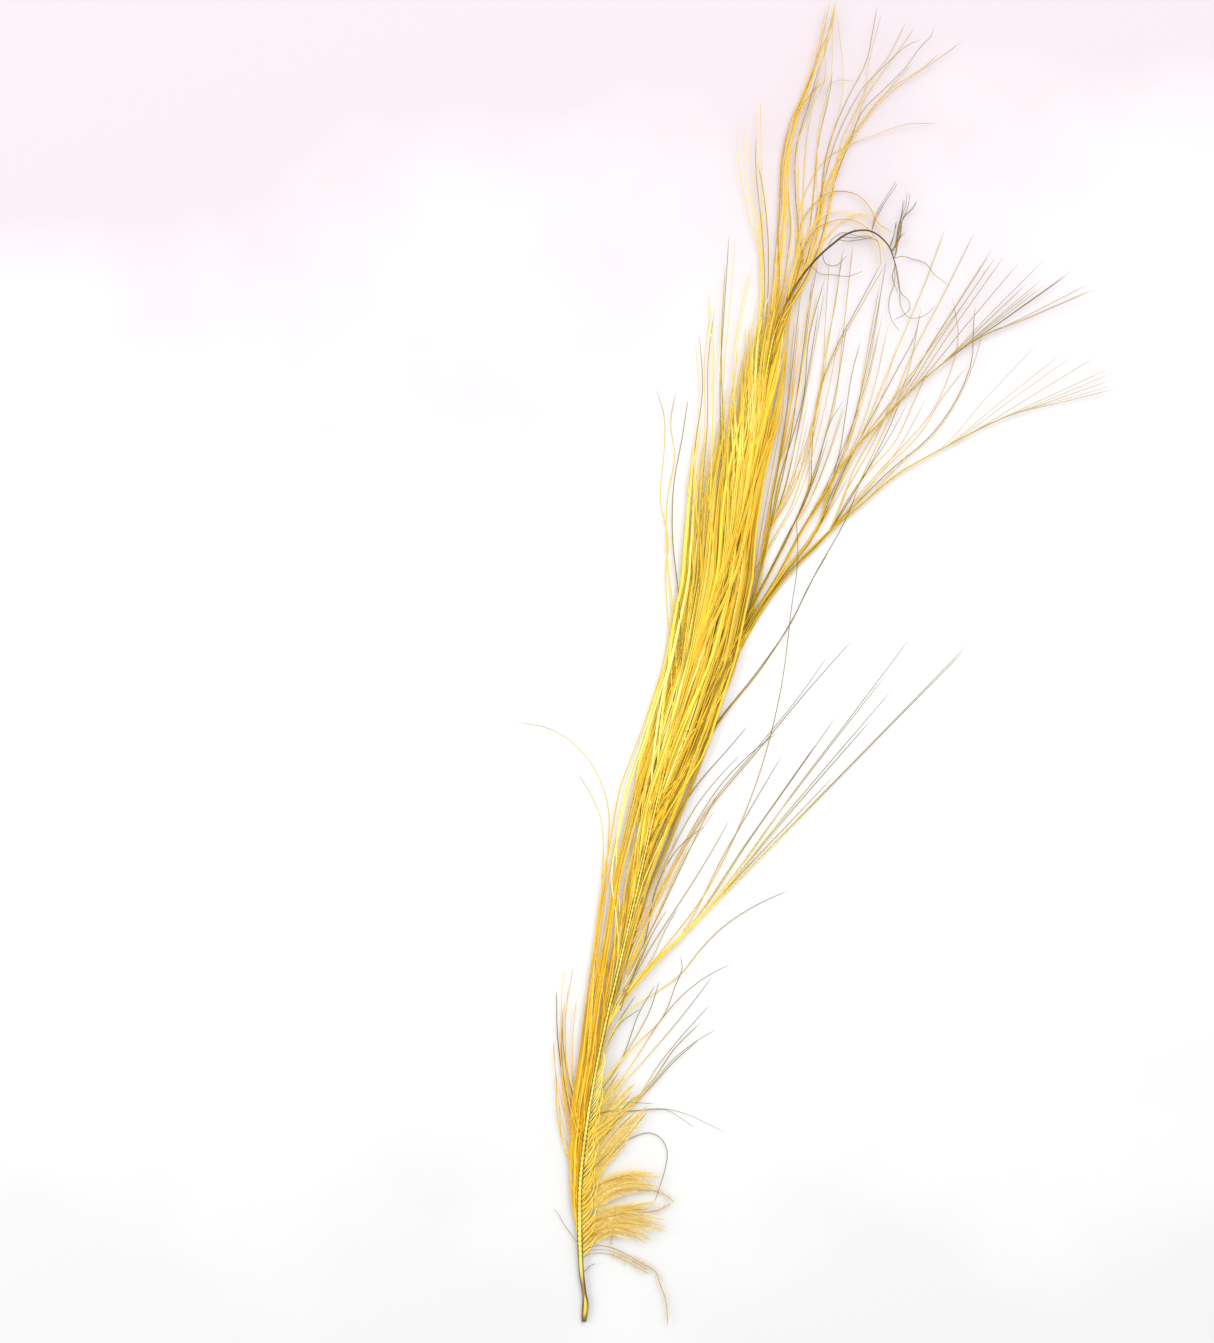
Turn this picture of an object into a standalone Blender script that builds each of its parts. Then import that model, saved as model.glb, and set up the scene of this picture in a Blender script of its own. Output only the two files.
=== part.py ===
"""Egret plume, dyed golden yellow, lying flat on a surface.

The quill end points to -Y and the tips to +Y, with +Z up. The plume grew as one piece, so it is one solid:
a tapered shaft, a ridged vane along it, and the long locks that leave the shaft and the vane, fused where they
start. Its underside is flat where it rests. Routes and sizes are drawn in millimetres from the middle of the
plume's outline, at the height of the surface that it lies on.
"""
import math

import bmesh
import bpy
from mathutils import Vector
from mathutils.geometry import interpolate_bezier, intersect_point_line

# Driving dimensions: the whole plume follows its length, in metres, from the drawn length in millimetres
PLUME_LENGTH = 0.300
DRAWN_LENGTH = 300.0
DRAWN_WIDTH = 135.6
UNIT = PLUME_LENGTH / DRAWN_LENGTH

# Quill and shaft: x, y and height of the middle, and the radius, from the cut end to the bent, dried tip
SHAFT_BEVEL_RESOLUTION = 2
SHAFT_SPAN = 6.0
QUILL_ROUTE = [
    (-52.2, -148.2, 0.75, 0.62),
    (-51.8, -145.0, 0.85, 0.80),
    (-52.3, -142.3, 1.00, 0.58),
]
SHAFT_ROUTE = [
    (-52.9, -137.0, 1.40, 0.60),
    (-53.3, -126.0, 2.10, 0.60),
    (-52.4, -110.4, 2.70, 0.58),
    (-50.3, -95.2, 3.00, 0.56),
    (-47.7, -82.7, 3.00, 0.54),
    (-43.6, -65.5, 2.90, 0.52),
    (-39.6, -48.0, 2.80, 0.50),
    (-32.5, -17.7, 2.70, 0.47),
    (-24.6, 10.0, 2.60, 0.44),
    (-17.3, 32.9, 2.50, 0.42),
    (-12.3, 57.8, 2.50, 0.40),
    (-8.6, 76.5, 3.00, 0.38),
    (-4.6, 85.3, 3.80, 0.37),
    (3.3, 94.3, 4.80, 0.35),
    (11.0, 97.9, 5.20, 0.33),
    (16.4, 94.3, 4.90, 0.31),
    (17.8, 90.8, 4.50, 0.28),
]

# Vane: y, left edge, right edge, underside and crown; what is below the surface is trimmed off flat.
# Its ridges stand at their full height where it is at least as wide as VANE_FULL_WIDTH
VANE_RIDGES = 8
VANE_RIDGE_HEIGHT = 0.6
VANE_FULL_WIDTH = 10.0
VANE_EDGE_THICKNESS = 0.5
VANE_SPAN = 8.0
VANE_SECTIONS = [
    (-129.0, -53.9, -52.4, 1.4, 2.2),
    (-120.0, -55.2, -51.4, 1.5, 2.6),
    (-109.0, -55.9, -50.0, 1.5, 2.9),
    (-98.0, -56.0, -48.4, 1.3, 3.1),
    (-87.0, -55.2, -46.0, 1.0, 3.2),
    (-75.0, -53.6, -43.4, 0.6, 3.2),
    (-61.0, -51.2, -39.2, 0.1, 3.2),
    (-47.0, -49.0, -34.6, -0.4, 3.2),
    (-25.0, -43.0, -26.6, -0.4, 3.2),
    (-3.0, -35.4, -19.0, -0.4, 3.2),
    (20.0, -30.0, -12.8, -0.4, 3.1),
    (42.0, -28.0, -8.8, -0.4, 3.0),
    (63.0, -24.0, -5.2, -0.3, 2.8),
    (81.0, -16.0, -3.6, 0.1, 2.4),
    (95.0, -11.4, -4.4, 0.5, 2.0),
    (104.0, -9.2, -6.4, 0.7, 1.5),
]

# Every lock swells from its root, settles on what is below it and tapers to its tip. It has a ridge along its top
LOCK_BEVEL_RESOLUTION = 0
LOCK_FLATNESS = 0.62
LOCK_SPAN = 9.5
LOCK_FEWEST_SPANS = 6
LOCK_MOST_SPANS = 11
LOCK_ROOT_SHARE = 0.4
LOCK_SWELLS_BY = 0.25
LOCK_SETTLES_BY = 0.4
LOCK_TAPER_POWER = 0.7
LOCK_RISE_POWER = 3
LOCK_TIP_RADIUS = 0.24
LOCK_LYING_HEIGHT = 0.3
LOCK_SINK = 0.5

# In place of a root height: the root is on the shaft or lock that the lock forks from
FORKS = None

# Points of a smooth curve between two drawn ones, and how near the points of a strand's caps are welded
FINE_POINTS = 16
WELD_DISTANCE = 0.000001

# Block under the plume: its size over the plume's outline, and its depth
SURFACE_BLOCK_SHARE = 1.5
SURFACE_BLOCK_DEPTH = 20.0


class Family:
    """Locks of one kind: greatest width, height of the roots, height of the tips, and each lock's route.

    A route starts inside the vane at the height of the roots, or, where that is FORKS, on the middle line of
    the shaft or lock nearest to its first point. It ends at the lock's tip.
    """

    def __init__(self, name, width, root_height, tip_height, routes):
        self.name = name
        self.width = width
        self.root_height = root_height
        self.tip_height = tip_height
        self.routes = routes


FAMILIES = [
    Family("down lock", 2.6, FORKS, 1.6, [
        [(-52.9, -129.4), (-47.7, -126.2), (-40.6, -127.0), (-36.4, -129.8)],
        [(-52.9, -127.4), (-47.7, -124.6), (-41.0, -123.8), (-33.0, -126.2)],
        [(-52.9, -125.4), (-47.7, -122.8), (-43.0, -121.9), (-35.2, -122.6)],
        [(-52.8, -121.8), (-47.9, -118.8), (-40.5, -117.8), (-31.6, -121.3)],
        [(-52.7, -119.4), (-48.4, -116.8), (-42.9, -115.4), (-34.3, -115.6)],
        [(-52.4, -116.0), (-47.6, -110.4), (-42.4, -104.0), (-36.6, -97.0)],
        [(-52.2, -112.0), (-47.4, -105.6), (-42.4, -99.4), (-37.4, -94.8)],
    ]),
    Family("down hair", 1.0, FORKS, 0.6, [
        [(-53.0, -133.6), (-47.7, -131.4), (-40.2, -134.2), (-34.8, -140.0), (-33.2, -149.8)],
        [(-53.0, -132.0), (-44.4, -132.6), (-38.0, -137.6)],
        [(-53.2, -130.0), (-55.8, -127.0), (-58.8, -123.3)],
        [(-51.8, -107.6), (-43.6, -98.8), (-34.8, -90.6), (-26.4, -84.8)],
        [(-51.2, -104.0), (-43.0, -95.6), (-33.4, -87.0), (-22.4, -82.2)],
        [(-47.9, -110.5), (-40.2, -106.5), (-35.8, -106.4), (-33.6, -111.0), (-36.2, -121.0)],
    ]),
    Family("single barb", 0.9, FORKS, 1.4, [
        [(-50.4, -99.6), (-41.6, -90.4), (-32.2, -82.0), (-23.7, -77.3)],
        [(-50.2, -97.0), (-42.5, -88.6), (-31.6, -75.6), (-18.9, -67.8)],
        [(-49.0, -91.0), (-44.1, -86.4), (-39.3, -78.2), (-36.8, -71.0)],
        [(-46.6, -79.6), (-36.1, -71.6), (-22.8, -60.6), (-7.8, -52.1)],
    ]),
    Family("lower fan lock", 1.5, 1.9, 2.2, [
        [(-45.6, -75.4), (-31.8, -62.4), (-6.7, -36.0), (35.2, 5.2)],
        [(-42.4, -66.6), (-28.4, -54.8), (-2.0, -28.3), (22.1, 6.3)],
        [(-40.0, -60.0), (-33.0, -42.0), (-20.3, -24.0), (8.5, 5.0)],
        [(-38.2, -55.0), (-28.9, -45.6), (-16.7, -32.0), (-9.4, -10.7), (-5.6, 6.8)],
        [(-34.0, -38.0), (-26.4, -27.0), (-12.8, -2.0), (-0.8, 19.4), (9.6, 38.4)],
    ]),
    Family("lower fan fork", 0.9, FORKS, 1.4, [
        [(-21.4, -49.6), (-10.1, -38.9), (1.2, -25.1), (12.6, -12.5)],
        [(-24.8, -30.8), (-16.9, -20.0), (-10.6, -14.8)],
    ]),
    Family("plume lock", 3.2, 3.0, 1.8, [
        [(-45.2, -74.0), (-47.4, -56.0), (-43.4, -24.0), (-35.0, 4.0)],
        [(-42.6, -62.0), (-43.0, -38.0), (-36.4, -4.0), (-30.6, 26.0)],
        [(-39.4, -48.0), (-37.4, -22.0), (-31.0, 10.0), (-29.6, 46.0)],
        [(-35.6, -32.0), (-32.0, -4.0), (-27.2, 26.0), (-26.6, 66.0)],
        [(-31.6, -16.0), (-27.8, 12.0), (-23.2, 44.0), (-20.8, 80.0)],
        [(-27.4, 0.0), (-23.0, 28.0), (-18.0, 60.0), (-14.8, 97.0)],
        [(-22.0, 18.0), (-17.6, 46.0), (-13.0, 78.0), (-11.0, 112.0)],
        [(-17.6, 32.0), (-12.8, 60.0), (-8.6, 88.0), (-6.0, 118.0)],
        [(-42.2, -60.0), (-36.0, -41.0), (-26.8, -18.0), (-18.0, 1.0)],
        [(-38.6, -44.0), (-31.0, -19.0), (-21.6, 5.0), (-12.2, 27.0)],
        [(-34.2, -25.0), (-26.0, 2.0), (-16.6, 29.0), (-8.2, 52.0)],
        [(-28.8, -5.0), (-20.4, 21.0), (-12.2, 49.0), (-4.6, 74.0)],
        [(-22.6, 16.0), (-14.4, 43.0), (-8.0, 70.0), (-2.8, 93.0)],
    ]),
    Family("spreading lock", 1.6, 1.3, 2.4, [
        [(-21.0, -3.0), (-12.0, 12.6), (7.6, 33.6), (32.3, 50.8), (67.6, 62.5)],
        [(-19.4, 1.0), (-11.0, 17.8), (4.0, 37.0), (17.8, 59.4), (33.4, 73.6), (62.0, 85.7)],
        [(-16.6, 8.0), (-8.0, 24.6), (5.4, 45.6), (12.1, 64.6), (15.8, 85.0), (22.4, 104.2)],
        [(-15.0, 16.0), (-5.6, 35.6), (2.0, 56.0), (9.6, 74.6)],
        [(-13.0, 30.0), (-4.4, 48.6), (2.6, 70.6), (7.6, 89.5)],
        [(-10.6, 44.0), (-2.6, 62.0), (0.6, 82.0), (3.1, 96.3)],
    ]),
    Family("spreading fork", 1.1, FORKS, 2.2, [
        [(26.0, 47.4), (38.6, 58.0), (50.0, 72.3)],
        [(35.0, 52.0), (46.6, 59.6), (58.1, 69.4)],
        [(16.4, 57.2), (31.8, 77.0), (51.6, 90.9)],
        [(13.0, 51.6), (28.6, 75.6), (42.7, 92.2)],
        [(9.4, 45.4), (23.2, 72.4), (35.9, 97.2)],
        [(6.0, 40.6), (16.4, 64.6), (29.3, 98.6)],
        [(13.2, 70.6), (17.4, 87.6), (20.6, 107.0)],
        [(19.0, 43.2), (29.4, 56.6), (34.4, 66.6), (35.4, 79.6)],
    ]),
    Family("top lock", 1.8, 1.2, 3.2, [
        [(-9.0, 76.0), (-8.0, 92.0), (-7.6, 108.3), (-4.2, 124.6), (0.8, 136.6), (4.4, 150.0)],
        [(-7.2, 78.0), (-5.4, 98.0), (-4.2, 112.6), (-0.6, 127.6), (9.2, 131.9)],
        [(-5.8, 74.0), (-0.6, 100.0), (3.3, 115.0), (9.0, 126.9), (14.2, 148.2)],
    ]),
    Family("top fork", 0.9, FORKS, 2.2, [
        [(3.0, 113.6), (10.4, 127.4), (20.5, 145.3)],
        [(2.4, 111.4), (12.0, 128.2), (26.9, 143.4)],
        [(1.6, 108.6), (13.2, 126.0), (33.0, 140.9)],
        [(-0.4, 101.0), (2.6, 112.6), (12.4, 119.8), (27.8, 122.1)],
        [(-2.0, 94.4), (1.4, 101.6), (8.0, 101.8), (14.0, 96.0)],
        [(-1.6, 97.2), (4.4, 106.6), (11.0, 104.4), (15.3, 98.6)],
    ]),
    Family("left tip", 1.0, 1.2, 2.2, [
        [(-9.8, 76.0), (-12.4, 91.0), (-16.0, 107.6), (-17.8, 122.8)],
        [(-9.2, 80.0), (-10.4, 94.0), (-12.4, 110.0), (-13.3, 125.8)],
        [(-17.0, 60.0), (-20.2, 75.0), (-18.4, 96.0)],
        [(-20.6, 54.0), (-22.8, 71.0), (-24.1, 85.2)],
        [(-28.0, 4.0), (-33.6, 26.0), (-33.8, 48.0), (-31.4, 61.9)],
    ]),
    Family("left arc", 1.0, 2.0, 2.0, [
        [(-51.4, -86.0), (-49.2, -64.0), (-47.0, -43.6), (-48.0, -29.0), (-56.0, -17.4), (-67.9, -12.9)],
        [(-50.6, -70.0), (-49.4, -52.0), (-49.6, -36.0), (-54.0, -24.2)],
        [(-54.0, -108.0), (-56.9, -90.0), (-58.6, -72.5)],
    ]),
    Family("tip curl", 0.8, FORKS, 2.4, [
        [(17.3, 92.3), (16.2, 83.0), (18.9, 74.8)],
        [(17.7, 91.3), (19.4, 82.7), (23.9, 78.8), (29.6, 81.7)],
        [(16.4, 94.3), (20.5, 93.0), (27.3, 90.6), (32.3, 83.8)],
    ]),
]

# Finish of the whole piece
DYE_YELLOW = (0.86, 0.56, 0.05, 1.0)
DYE_ROUGHNESS = 0.6


def ease(share):
    """Ease from 0 to 1 as the share goes from 0 to 1, and stay there."""
    share = min(max(share, 0.0), 1.0)
    return share * share * (3.0 - 2.0 * share)


def read_between(rows, key):
    """Return the row at a value of the first column, on straight lines between the given rows."""
    for before, after in zip(rows, rows[1:]):
        if key <= after[0]:
            share = (key - before[0]) / (after[0] - before[0])
            return [low + (high - low) * share for low, high in zip(before, after)]
    return list(rows[-1])


def distances_along(points):
    """Return the distance travelled to each point."""
    travelled = [0.0]
    for before, after in zip(points, points[1:]):
        travelled.append(travelled[-1] + (after - before).length)
    return travelled


def curve_through(points, spans):
    """Return spans + 1 points, evenly spaced along one smooth curve through the given points."""
    tangents = []
    for index in range(len(points)):
        before = points[max(index - 1, 0)]
        after = points[min(index + 1, len(points) - 1)]
        tangents.append((after - before).normalized())
    fine = [points[0]]
    for index, (start, end) in enumerate(zip(points, points[1:])):
        reach = (end - start).length / 3.0
        leave = start + tangents[index] * reach
        arrive = end - tangents[index + 1] * reach
        fine += interpolate_bezier(start, leave, arrive, end, FINE_POINTS)[1:]
    rows = [(distance, *place) for distance, place in zip(distances_along(fine), fine)]
    length = rows[-1][0]
    return [Vector(read_between(rows, length * step / spans)[1:]) for step in range(spans + 1)]


def make_collection(name):
    """Add a collection to the scene."""
    collection = bpy.data.collections.new(name)
    bpy.context.scene.collection.children.link(collection)
    return collection


def make_material(name, colour, roughness):
    """Make the plain dyed finish of the plume."""
    material = bpy.data.materials.new(name)
    material.use_nodes = True
    shader = material.node_tree.nodes["Principled BSDF"]
    shader.inputs["Base Color"].default_value = colour
    shader.inputs["Roughness"].default_value = roughness
    shader.inputs["Metallic"].default_value = 0.0
    return material


def link_mesh(name, shape, collection):
    """Write a bmesh into a new mesh object."""
    mesh = bpy.data.meshes.new(name)
    shape.to_mesh(mesh)
    shape.free()
    result = bpy.data.objects.new(name, mesh)
    collection.objects.link(result)
    return result


def solid_from_curve(curve_object, collection):
    """Turn a curve with filled ends into a closed mesh object in the same place, and remove the curve."""
    depsgraph = bpy.context.evaluated_depsgraph_get()
    mesh = bpy.data.meshes.new_from_object(curve_object.evaluated_get(depsgraph))
    shape = bmesh.new()
    shape.from_mesh(mesh)
    bpy.data.meshes.remove(mesh)
    bmesh.ops.remove_doubles(shape, verts=shape.verts, dist=WELD_DISTANCE)
    bmesh.ops.recalc_face_normals(shape, faces=shape.faces)
    place = curve_object.matrix_world.copy()
    name = curve_object.name
    bpy.data.objects.remove(curve_object)
    solid = link_mesh(name, shape, collection)
    solid.matrix_world = place
    return solid


def make_strand(name, places, radii, bevel_resolution, flatness, collection):
    """Sweep a tapering strand along its places; flatness is its thickness over its width."""
    curve = bpy.data.curves.new(name, "CURVE")
    curve.dimensions = "3D"
    curve.twist_mode = "Z_UP"
    curve.bevel_depth = UNIT
    curve.bevel_resolution = bevel_resolution
    curve.use_fill_caps = True
    spline = curve.splines.new("POLY")
    spline.points.add(len(places) - 1)
    for point, place, radius in zip(spline.points, places, radii):
        point.co = (place.x * UNIT, place.y * UNIT, place.z * UNIT / flatness, 1.0)
        point.radius = radius
    strand = bpy.data.objects.new(name, curve)
    strand.scale = (1.0, 1.0, flatness)
    collection.objects.link(strand)
    bpy.context.view_layer.update()
    return solid_from_curve(strand, collection)


def make_shaft(name, collection):
    """Model the quill and shaft as one round, tapering strand that swells near its cut end."""
    given = [Vector(row[:3]) for row in SHAFT_ROUTE]
    distances = distances_along(given)
    radius_rows = [(distance, row[3]) for distance, row in zip(distances, SHAFT_ROUTE)]
    spans = round(distances[-1] / SHAFT_SPAN)
    places = [Vector(row[:3]) for row in QUILL_ROUTE] + curve_through(given, spans)
    radii = [row[3] for row in QUILL_ROUTE]
    for step in range(spans + 1):
        radii.append(read_between(radius_rows, distances[-1] * step / spans)[1])
    return make_strand(name, places, radii, SHAFT_BEVEL_RESOLUTION, 1.0, collection), places


def crown_share(share):
    """Return how full the vane is, from 0 at its edges to 1 half way across."""
    return math.sqrt(max(0.0, 1.0 - (2.0 * share - 1.0) ** 2))


def vane_section(y, left, right, underside, crown):
    """Return the outline of the vane's ridged cross-section at y."""
    middle = (underside + crown) / 2.0
    edge_underside = middle - VANE_EDGE_THICKNESS / 2.0
    edge_top = middle + VANE_EDGE_THICKNESS / 2.0
    outline = []
    for share in (0.0, 0.5, 1.0):
        outline.append((share, edge_underside + (underside - edge_underside) * crown_share(share)))
    steps = 2 * VANE_RIDGES
    ridge_height = VANE_RIDGE_HEIGHT * min(1.0, (right - left) / VANE_FULL_WIDTH)
    for step in range(steps + 1):
        share = 1.0 - step / steps
        height = edge_top + (crown - edge_top) * crown_share(share)
        outline.append((share, height + ridge_height * (step % 2)))
    return [Vector((left + (right - left) * share, y, height)) * UNIT for share, height in outline]


def vane_height(place):
    """Return the height of the vane's crown at a place, or of the surface beside the vane."""
    if not VANE_SECTIONS[0][0] <= place.y <= VANE_SECTIONS[-1][0]:
        return 0.0
    _, left, right, underside, crown = read_between(VANE_SECTIONS, place.y)
    if not left <= place.x <= right:
        return 0.0
    middle = (underside + crown) / 2.0
    return middle + (crown - middle) * crown_share((place.x - left) / (right - left))


def make_vane(collection):
    """Loft the vane through its sections, which differ in width, height and ridges."""
    first, last = VANE_SECTIONS[0][0], VANE_SECTIONS[-1][0]
    spans = round((last - first) / VANE_SPAN)
    shape = bmesh.new()
    rings = []
    for step in range(spans + 1):
        section = read_between(VANE_SECTIONS, first + (last - first) * step / spans)
        rings.append([shape.verts.new(place) for place in vane_section(*section)])
    for near, far in zip(rings, rings[1:]):
        for index in range(len(near)):
            after = (index + 1) % len(near)
            shape.faces.new((near[index], near[after], far[after], far[index]))
    shape.faces.new(rings[0])
    shape.faces.new(rings[-1])
    bmesh.ops.triangulate(shape, faces=shape.faces)
    bmesh.ops.recalc_face_normals(shape, faces=shape.faces)
    return link_mesh("vane", shape, collection)


def nearest_on_strands(middle_lines, place):
    """Return the point of the middle lines that is nearest to a place seen from above."""
    nearest = None
    for line in middle_lines:
        for before, after in zip(line, line[1:]):
            _, share = intersect_point_line(place, before.xy.to_3d(), after.xy.to_3d())
            point = before.lerp(after, min(max(share, 0.0), 1.0))
            if nearest is None or (point.xy - place.xy).length < (nearest.xy - place.xy).length:
                nearest = point
    return nearest


def make_lock(name, family, route, middle_lines, collection):
    """Model one lock, which lies on the vane where it crosses it and on the surface beside it."""
    drawn = [Vector((x, y, 0.0)) for x, y in route]
    root_height = family.root_height
    if root_height is FORKS:
        root = nearest_on_strands(middle_lines, drawn[0])
        root_height = root.z
        drawn[0] = Vector((root.x, root.y, 0.0))
    spans = round(distances_along(drawn)[-1] / LOCK_SPAN)
    spans = min(max(spans, LOCK_FEWEST_SPANS), LOCK_MOST_SPANS)
    places = curve_through(drawn, spans)
    radii = []
    full_radius = family.width / 2.0 - LOCK_TIP_RADIUS
    for step, place in enumerate(places):
        share = step / spans
        settled = root_height + (LOCK_LYING_HEIGHT - root_height) * ease(share / LOCK_SETTLES_BY)
        risen = (family.tip_height - LOCK_LYING_HEIGHT) * share ** LOCK_RISE_POWER
        place.z = max(settled + risen, vane_height(place) - LOCK_SINK) if step else root_height
        swell = LOCK_ROOT_SHARE + (1.0 - LOCK_ROOT_SHARE) * ease(share / LOCK_SWELLS_BY)
        radii.append(LOCK_TIP_RADIUS + full_radius * swell * (1.0 - share) ** LOCK_TAPER_POWER)
    make_strand(name, places, radii, LOCK_BEVEL_RESOLUTION, LOCK_FLATNESS, collection)
    return places


def make_surface_block(collection):
    """Make the block under the plume, whose top is the surface that the plume rests on."""
    width = SURFACE_BLOCK_SHARE * DRAWN_WIDTH * UNIT
    length = SURFACE_BLOCK_SHARE * DRAWN_LENGTH * UNIT
    depth = SURFACE_BLOCK_DEPTH * UNIT
    shape = bmesh.new()
    bmesh.ops.create_cube(shape, size=1.0)
    bmesh.ops.scale(shape, vec=(width, length, depth), verts=shape.verts)
    bmesh.ops.translate(shape, vec=(0.0, 0.0, -depth / 2.0), verts=shape.verts)
    return link_mesh("surface_block", shape, collection)


def add_boolean(target, name, operation):
    """Add an exact Boolean to the target."""
    modifier = target.modifiers.new(name, "BOOLEAN")
    modifier.operation = operation
    modifier.solver = "EXACT"
    return modifier


def main():
    for item in list(bpy.data.objects):
        bpy.data.objects.remove(item)
    parts = make_collection("egret_feather")
    grown = make_collection("vane_and_locks")
    cutters = make_collection("cutters")

    feather, shaft_line = make_shaft("feather", parts)
    feather.data.materials.append(make_material("dyed_feather", DYE_YELLOW, DYE_ROUGHNESS))
    make_vane(grown)
    middle_lines = [shaft_line]
    for family in FAMILIES:
        grown_from = list(middle_lines)
        for number, route in enumerate(family.routes, start=1):
            middle_lines.append(make_lock(f"{family.name} {number}", family, route, grown_from, grown))
    make_surface_block(cutters)
    for guide in list(grown.objects) + list(cutters.objects):
        guide.hide_render = True
        guide.display_type = "WIRE"

    fuse = add_boolean(feather, "Fuse vane and locks", "UNION")
    fuse.operand_type = "COLLECTION"
    fuse.collection = grown
    trim = add_boolean(feather, "Trim underside flat", "DIFFERENCE")
    trim.object = cutters.objects["surface_block"]


if __name__ == "__main__":
    main()
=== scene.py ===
"""Egret plume, dyed golden yellow, lying flat on a pale surface.

The frame is the plume's plain solid. Here its barbs are modelled one by one: a quill and shaft, the dense
plume that runs along the shaft, the barbs that spread from it in fans, and the soft down at the base.
Routes are drawn in millimetres from the middle of the plume's outline, with +Y to the tips and +Z up from
the surface.
"""

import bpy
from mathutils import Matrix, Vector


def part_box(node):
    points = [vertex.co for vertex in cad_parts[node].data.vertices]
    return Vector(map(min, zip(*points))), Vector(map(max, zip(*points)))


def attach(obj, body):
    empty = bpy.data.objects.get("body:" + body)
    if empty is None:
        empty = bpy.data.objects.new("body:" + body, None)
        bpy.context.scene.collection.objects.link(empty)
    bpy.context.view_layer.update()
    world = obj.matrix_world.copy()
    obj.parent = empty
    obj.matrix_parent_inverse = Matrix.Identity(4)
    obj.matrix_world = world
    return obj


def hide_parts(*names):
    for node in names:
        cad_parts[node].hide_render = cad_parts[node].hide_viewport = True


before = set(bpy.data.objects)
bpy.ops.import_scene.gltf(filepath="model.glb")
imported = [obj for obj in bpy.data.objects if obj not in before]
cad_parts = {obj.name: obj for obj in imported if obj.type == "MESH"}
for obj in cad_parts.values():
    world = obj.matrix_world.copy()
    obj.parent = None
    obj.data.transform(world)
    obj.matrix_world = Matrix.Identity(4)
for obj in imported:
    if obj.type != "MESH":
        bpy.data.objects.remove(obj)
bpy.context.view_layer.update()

import math
from dataclasses import dataclass

import bpy
import numpy as np
from mathutils import Vector

bl_info = {
    "name": "Egret plume",
    "version": (1, 0, 0),
    "blender": (4, 5, 0),
    "location": "3D View > Sidebar > Plume",
    "description": "Adds a dyed egret plume barb by barb, and a plain stage",
    "category": "Add Mesh",
}

# The drawing is in millimetres for a plume of this length; the frame gives the real one in metres
DRAWN_LENGTH = 299.9
FEATHER_LOW, FEATHER_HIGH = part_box("feather")
UNIT = (FEATHER_HIGH[1] - FEATHER_LOW[1]) / DRAWN_LENGTH

BODY = "root"
SOLID = "feather"

# Quill and shaft: x, y and height of the middle, half the width and half the height
SHAFT_ROUTE = [
    (-52.22, -148.6, 0.80, 0.56, 0.50),
    (-52.15, -147.7, 0.82, 0.62, 0.56),
    (-52.02, -146.4, 0.86, 0.72, 0.64),
    (-51.87, -145.1, 0.88, 0.78, 0.70),
    (-51.90, -143.9, 0.94, 0.68, 0.66),
    (-52.08, -142.5, 1.02, 0.51, 0.56),
    (-52.30, -141.0, 1.10, 0.53, 0.54),
    (-52.72, -138.0, 1.30, 0.61, 0.54),
    (-53.02, -133.0, 1.70, 0.63, 0.54),
    (-53.20, -126.0, 2.10, 0.60, 0.52),
    (-53.18, -120.0, 2.40, 0.54, 0.50),
    (-52.20, -108.5, 2.75, 0.44, 0.48),
    (-51.00, -100.2, 2.92, 0.40, 0.46),
    (-50.15, -95.2, 3.00, 0.37, 0.44),
    (-47.70, -82.7, 3.00, 0.32, 0.42),
    (-43.60, -65.5, 2.90, 0.29, 0.40),
    (-39.60, -48.0, 2.70, 0.28, 0.38),
    (-32.50, -17.7, 2.40, 0.28, 0.36),
    (-24.60, 10.0, 2.20, 0.28, 0.34),
    (-17.30, 32.9, 2.20, 0.28, 0.32),
    (-12.30, 57.8, 2.40, 0.26, 0.30),
    (-8.60, 76.5, 3.00, 0.25, 0.28),
    (-4.60, 85.3, 3.80, 0.24, 0.26),
    (3.30, 94.3, 4.80, 0.23, 0.24),
    (8.00, 97.4, 5.12, 0.22, 0.22),
    (12.00, 97.7, 5.16, 0.20, 0.20),
    (16.40, 94.3, 4.90, 0.16, 0.16),
    (18.10, 89.6, 4.40, 0.08, 0.09),
]
# Its rings and their corners, the groove's depth as a share of the half height, the wall of the cut end in
# millimetres, and how many rings deep its hollow is
SHAFT_STEPS = 260
SHAFT_SIDES = 16
GROOVE_DEPTH = 0.22
QUILL_WALL = 0.17
QUILL_HOLLOW = 2

# The dense plume: y, left edge, right edge, lowest and highest barb at its middle
PLUME_ROWS = [
    (-131, -53.8, -52.6, 1.3, 2.0),
    (-121, -55.3, -51.9, 1.2, 2.4),
    (-109.9, -56.0, -50.4, 1.0, 2.7),
    (-98.6, -55.0, -48.0, 0.8, 2.8),
    (-87.2, -53.2, -45.2, 0.6, 2.8),
    (-75.9, -51.8, -43.6, 0.5, 2.8),
    (-62.3, -49.8, -40.2, 0.4, 2.8),
    (-48.7, -48.2, -36.2, 0.3, 2.8),
    (-27, -44.0, -27.4, 0.3, 2.9),
    (-15, -40.0, -22.8, 0.3, 3.2),
    (1, -35.0, -17.8, 0.3, 3.6),
    (19.3, -31.0, -14.0, 0.3, 3.7),
    (30.6, -30.0, -13.2, 0.3, 3.7),
    (41.9, -29.4, -11.2, 0.3, 3.7),
    (53.3, -28.0, -8.2, 0.3, 3.6),
    (64.6, -26.2, -6.0, 0.3, 3.3),
    (75, -22.8, -5.2, 0.4, 3.0),
    (82.7, -18.6, -4.8, 0.4, 2.8),
    (98, -14.0, -3.8, 0.6, 2.2),
    (130, -8.0, 4.0, 0.8, 2.0),
]

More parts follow.
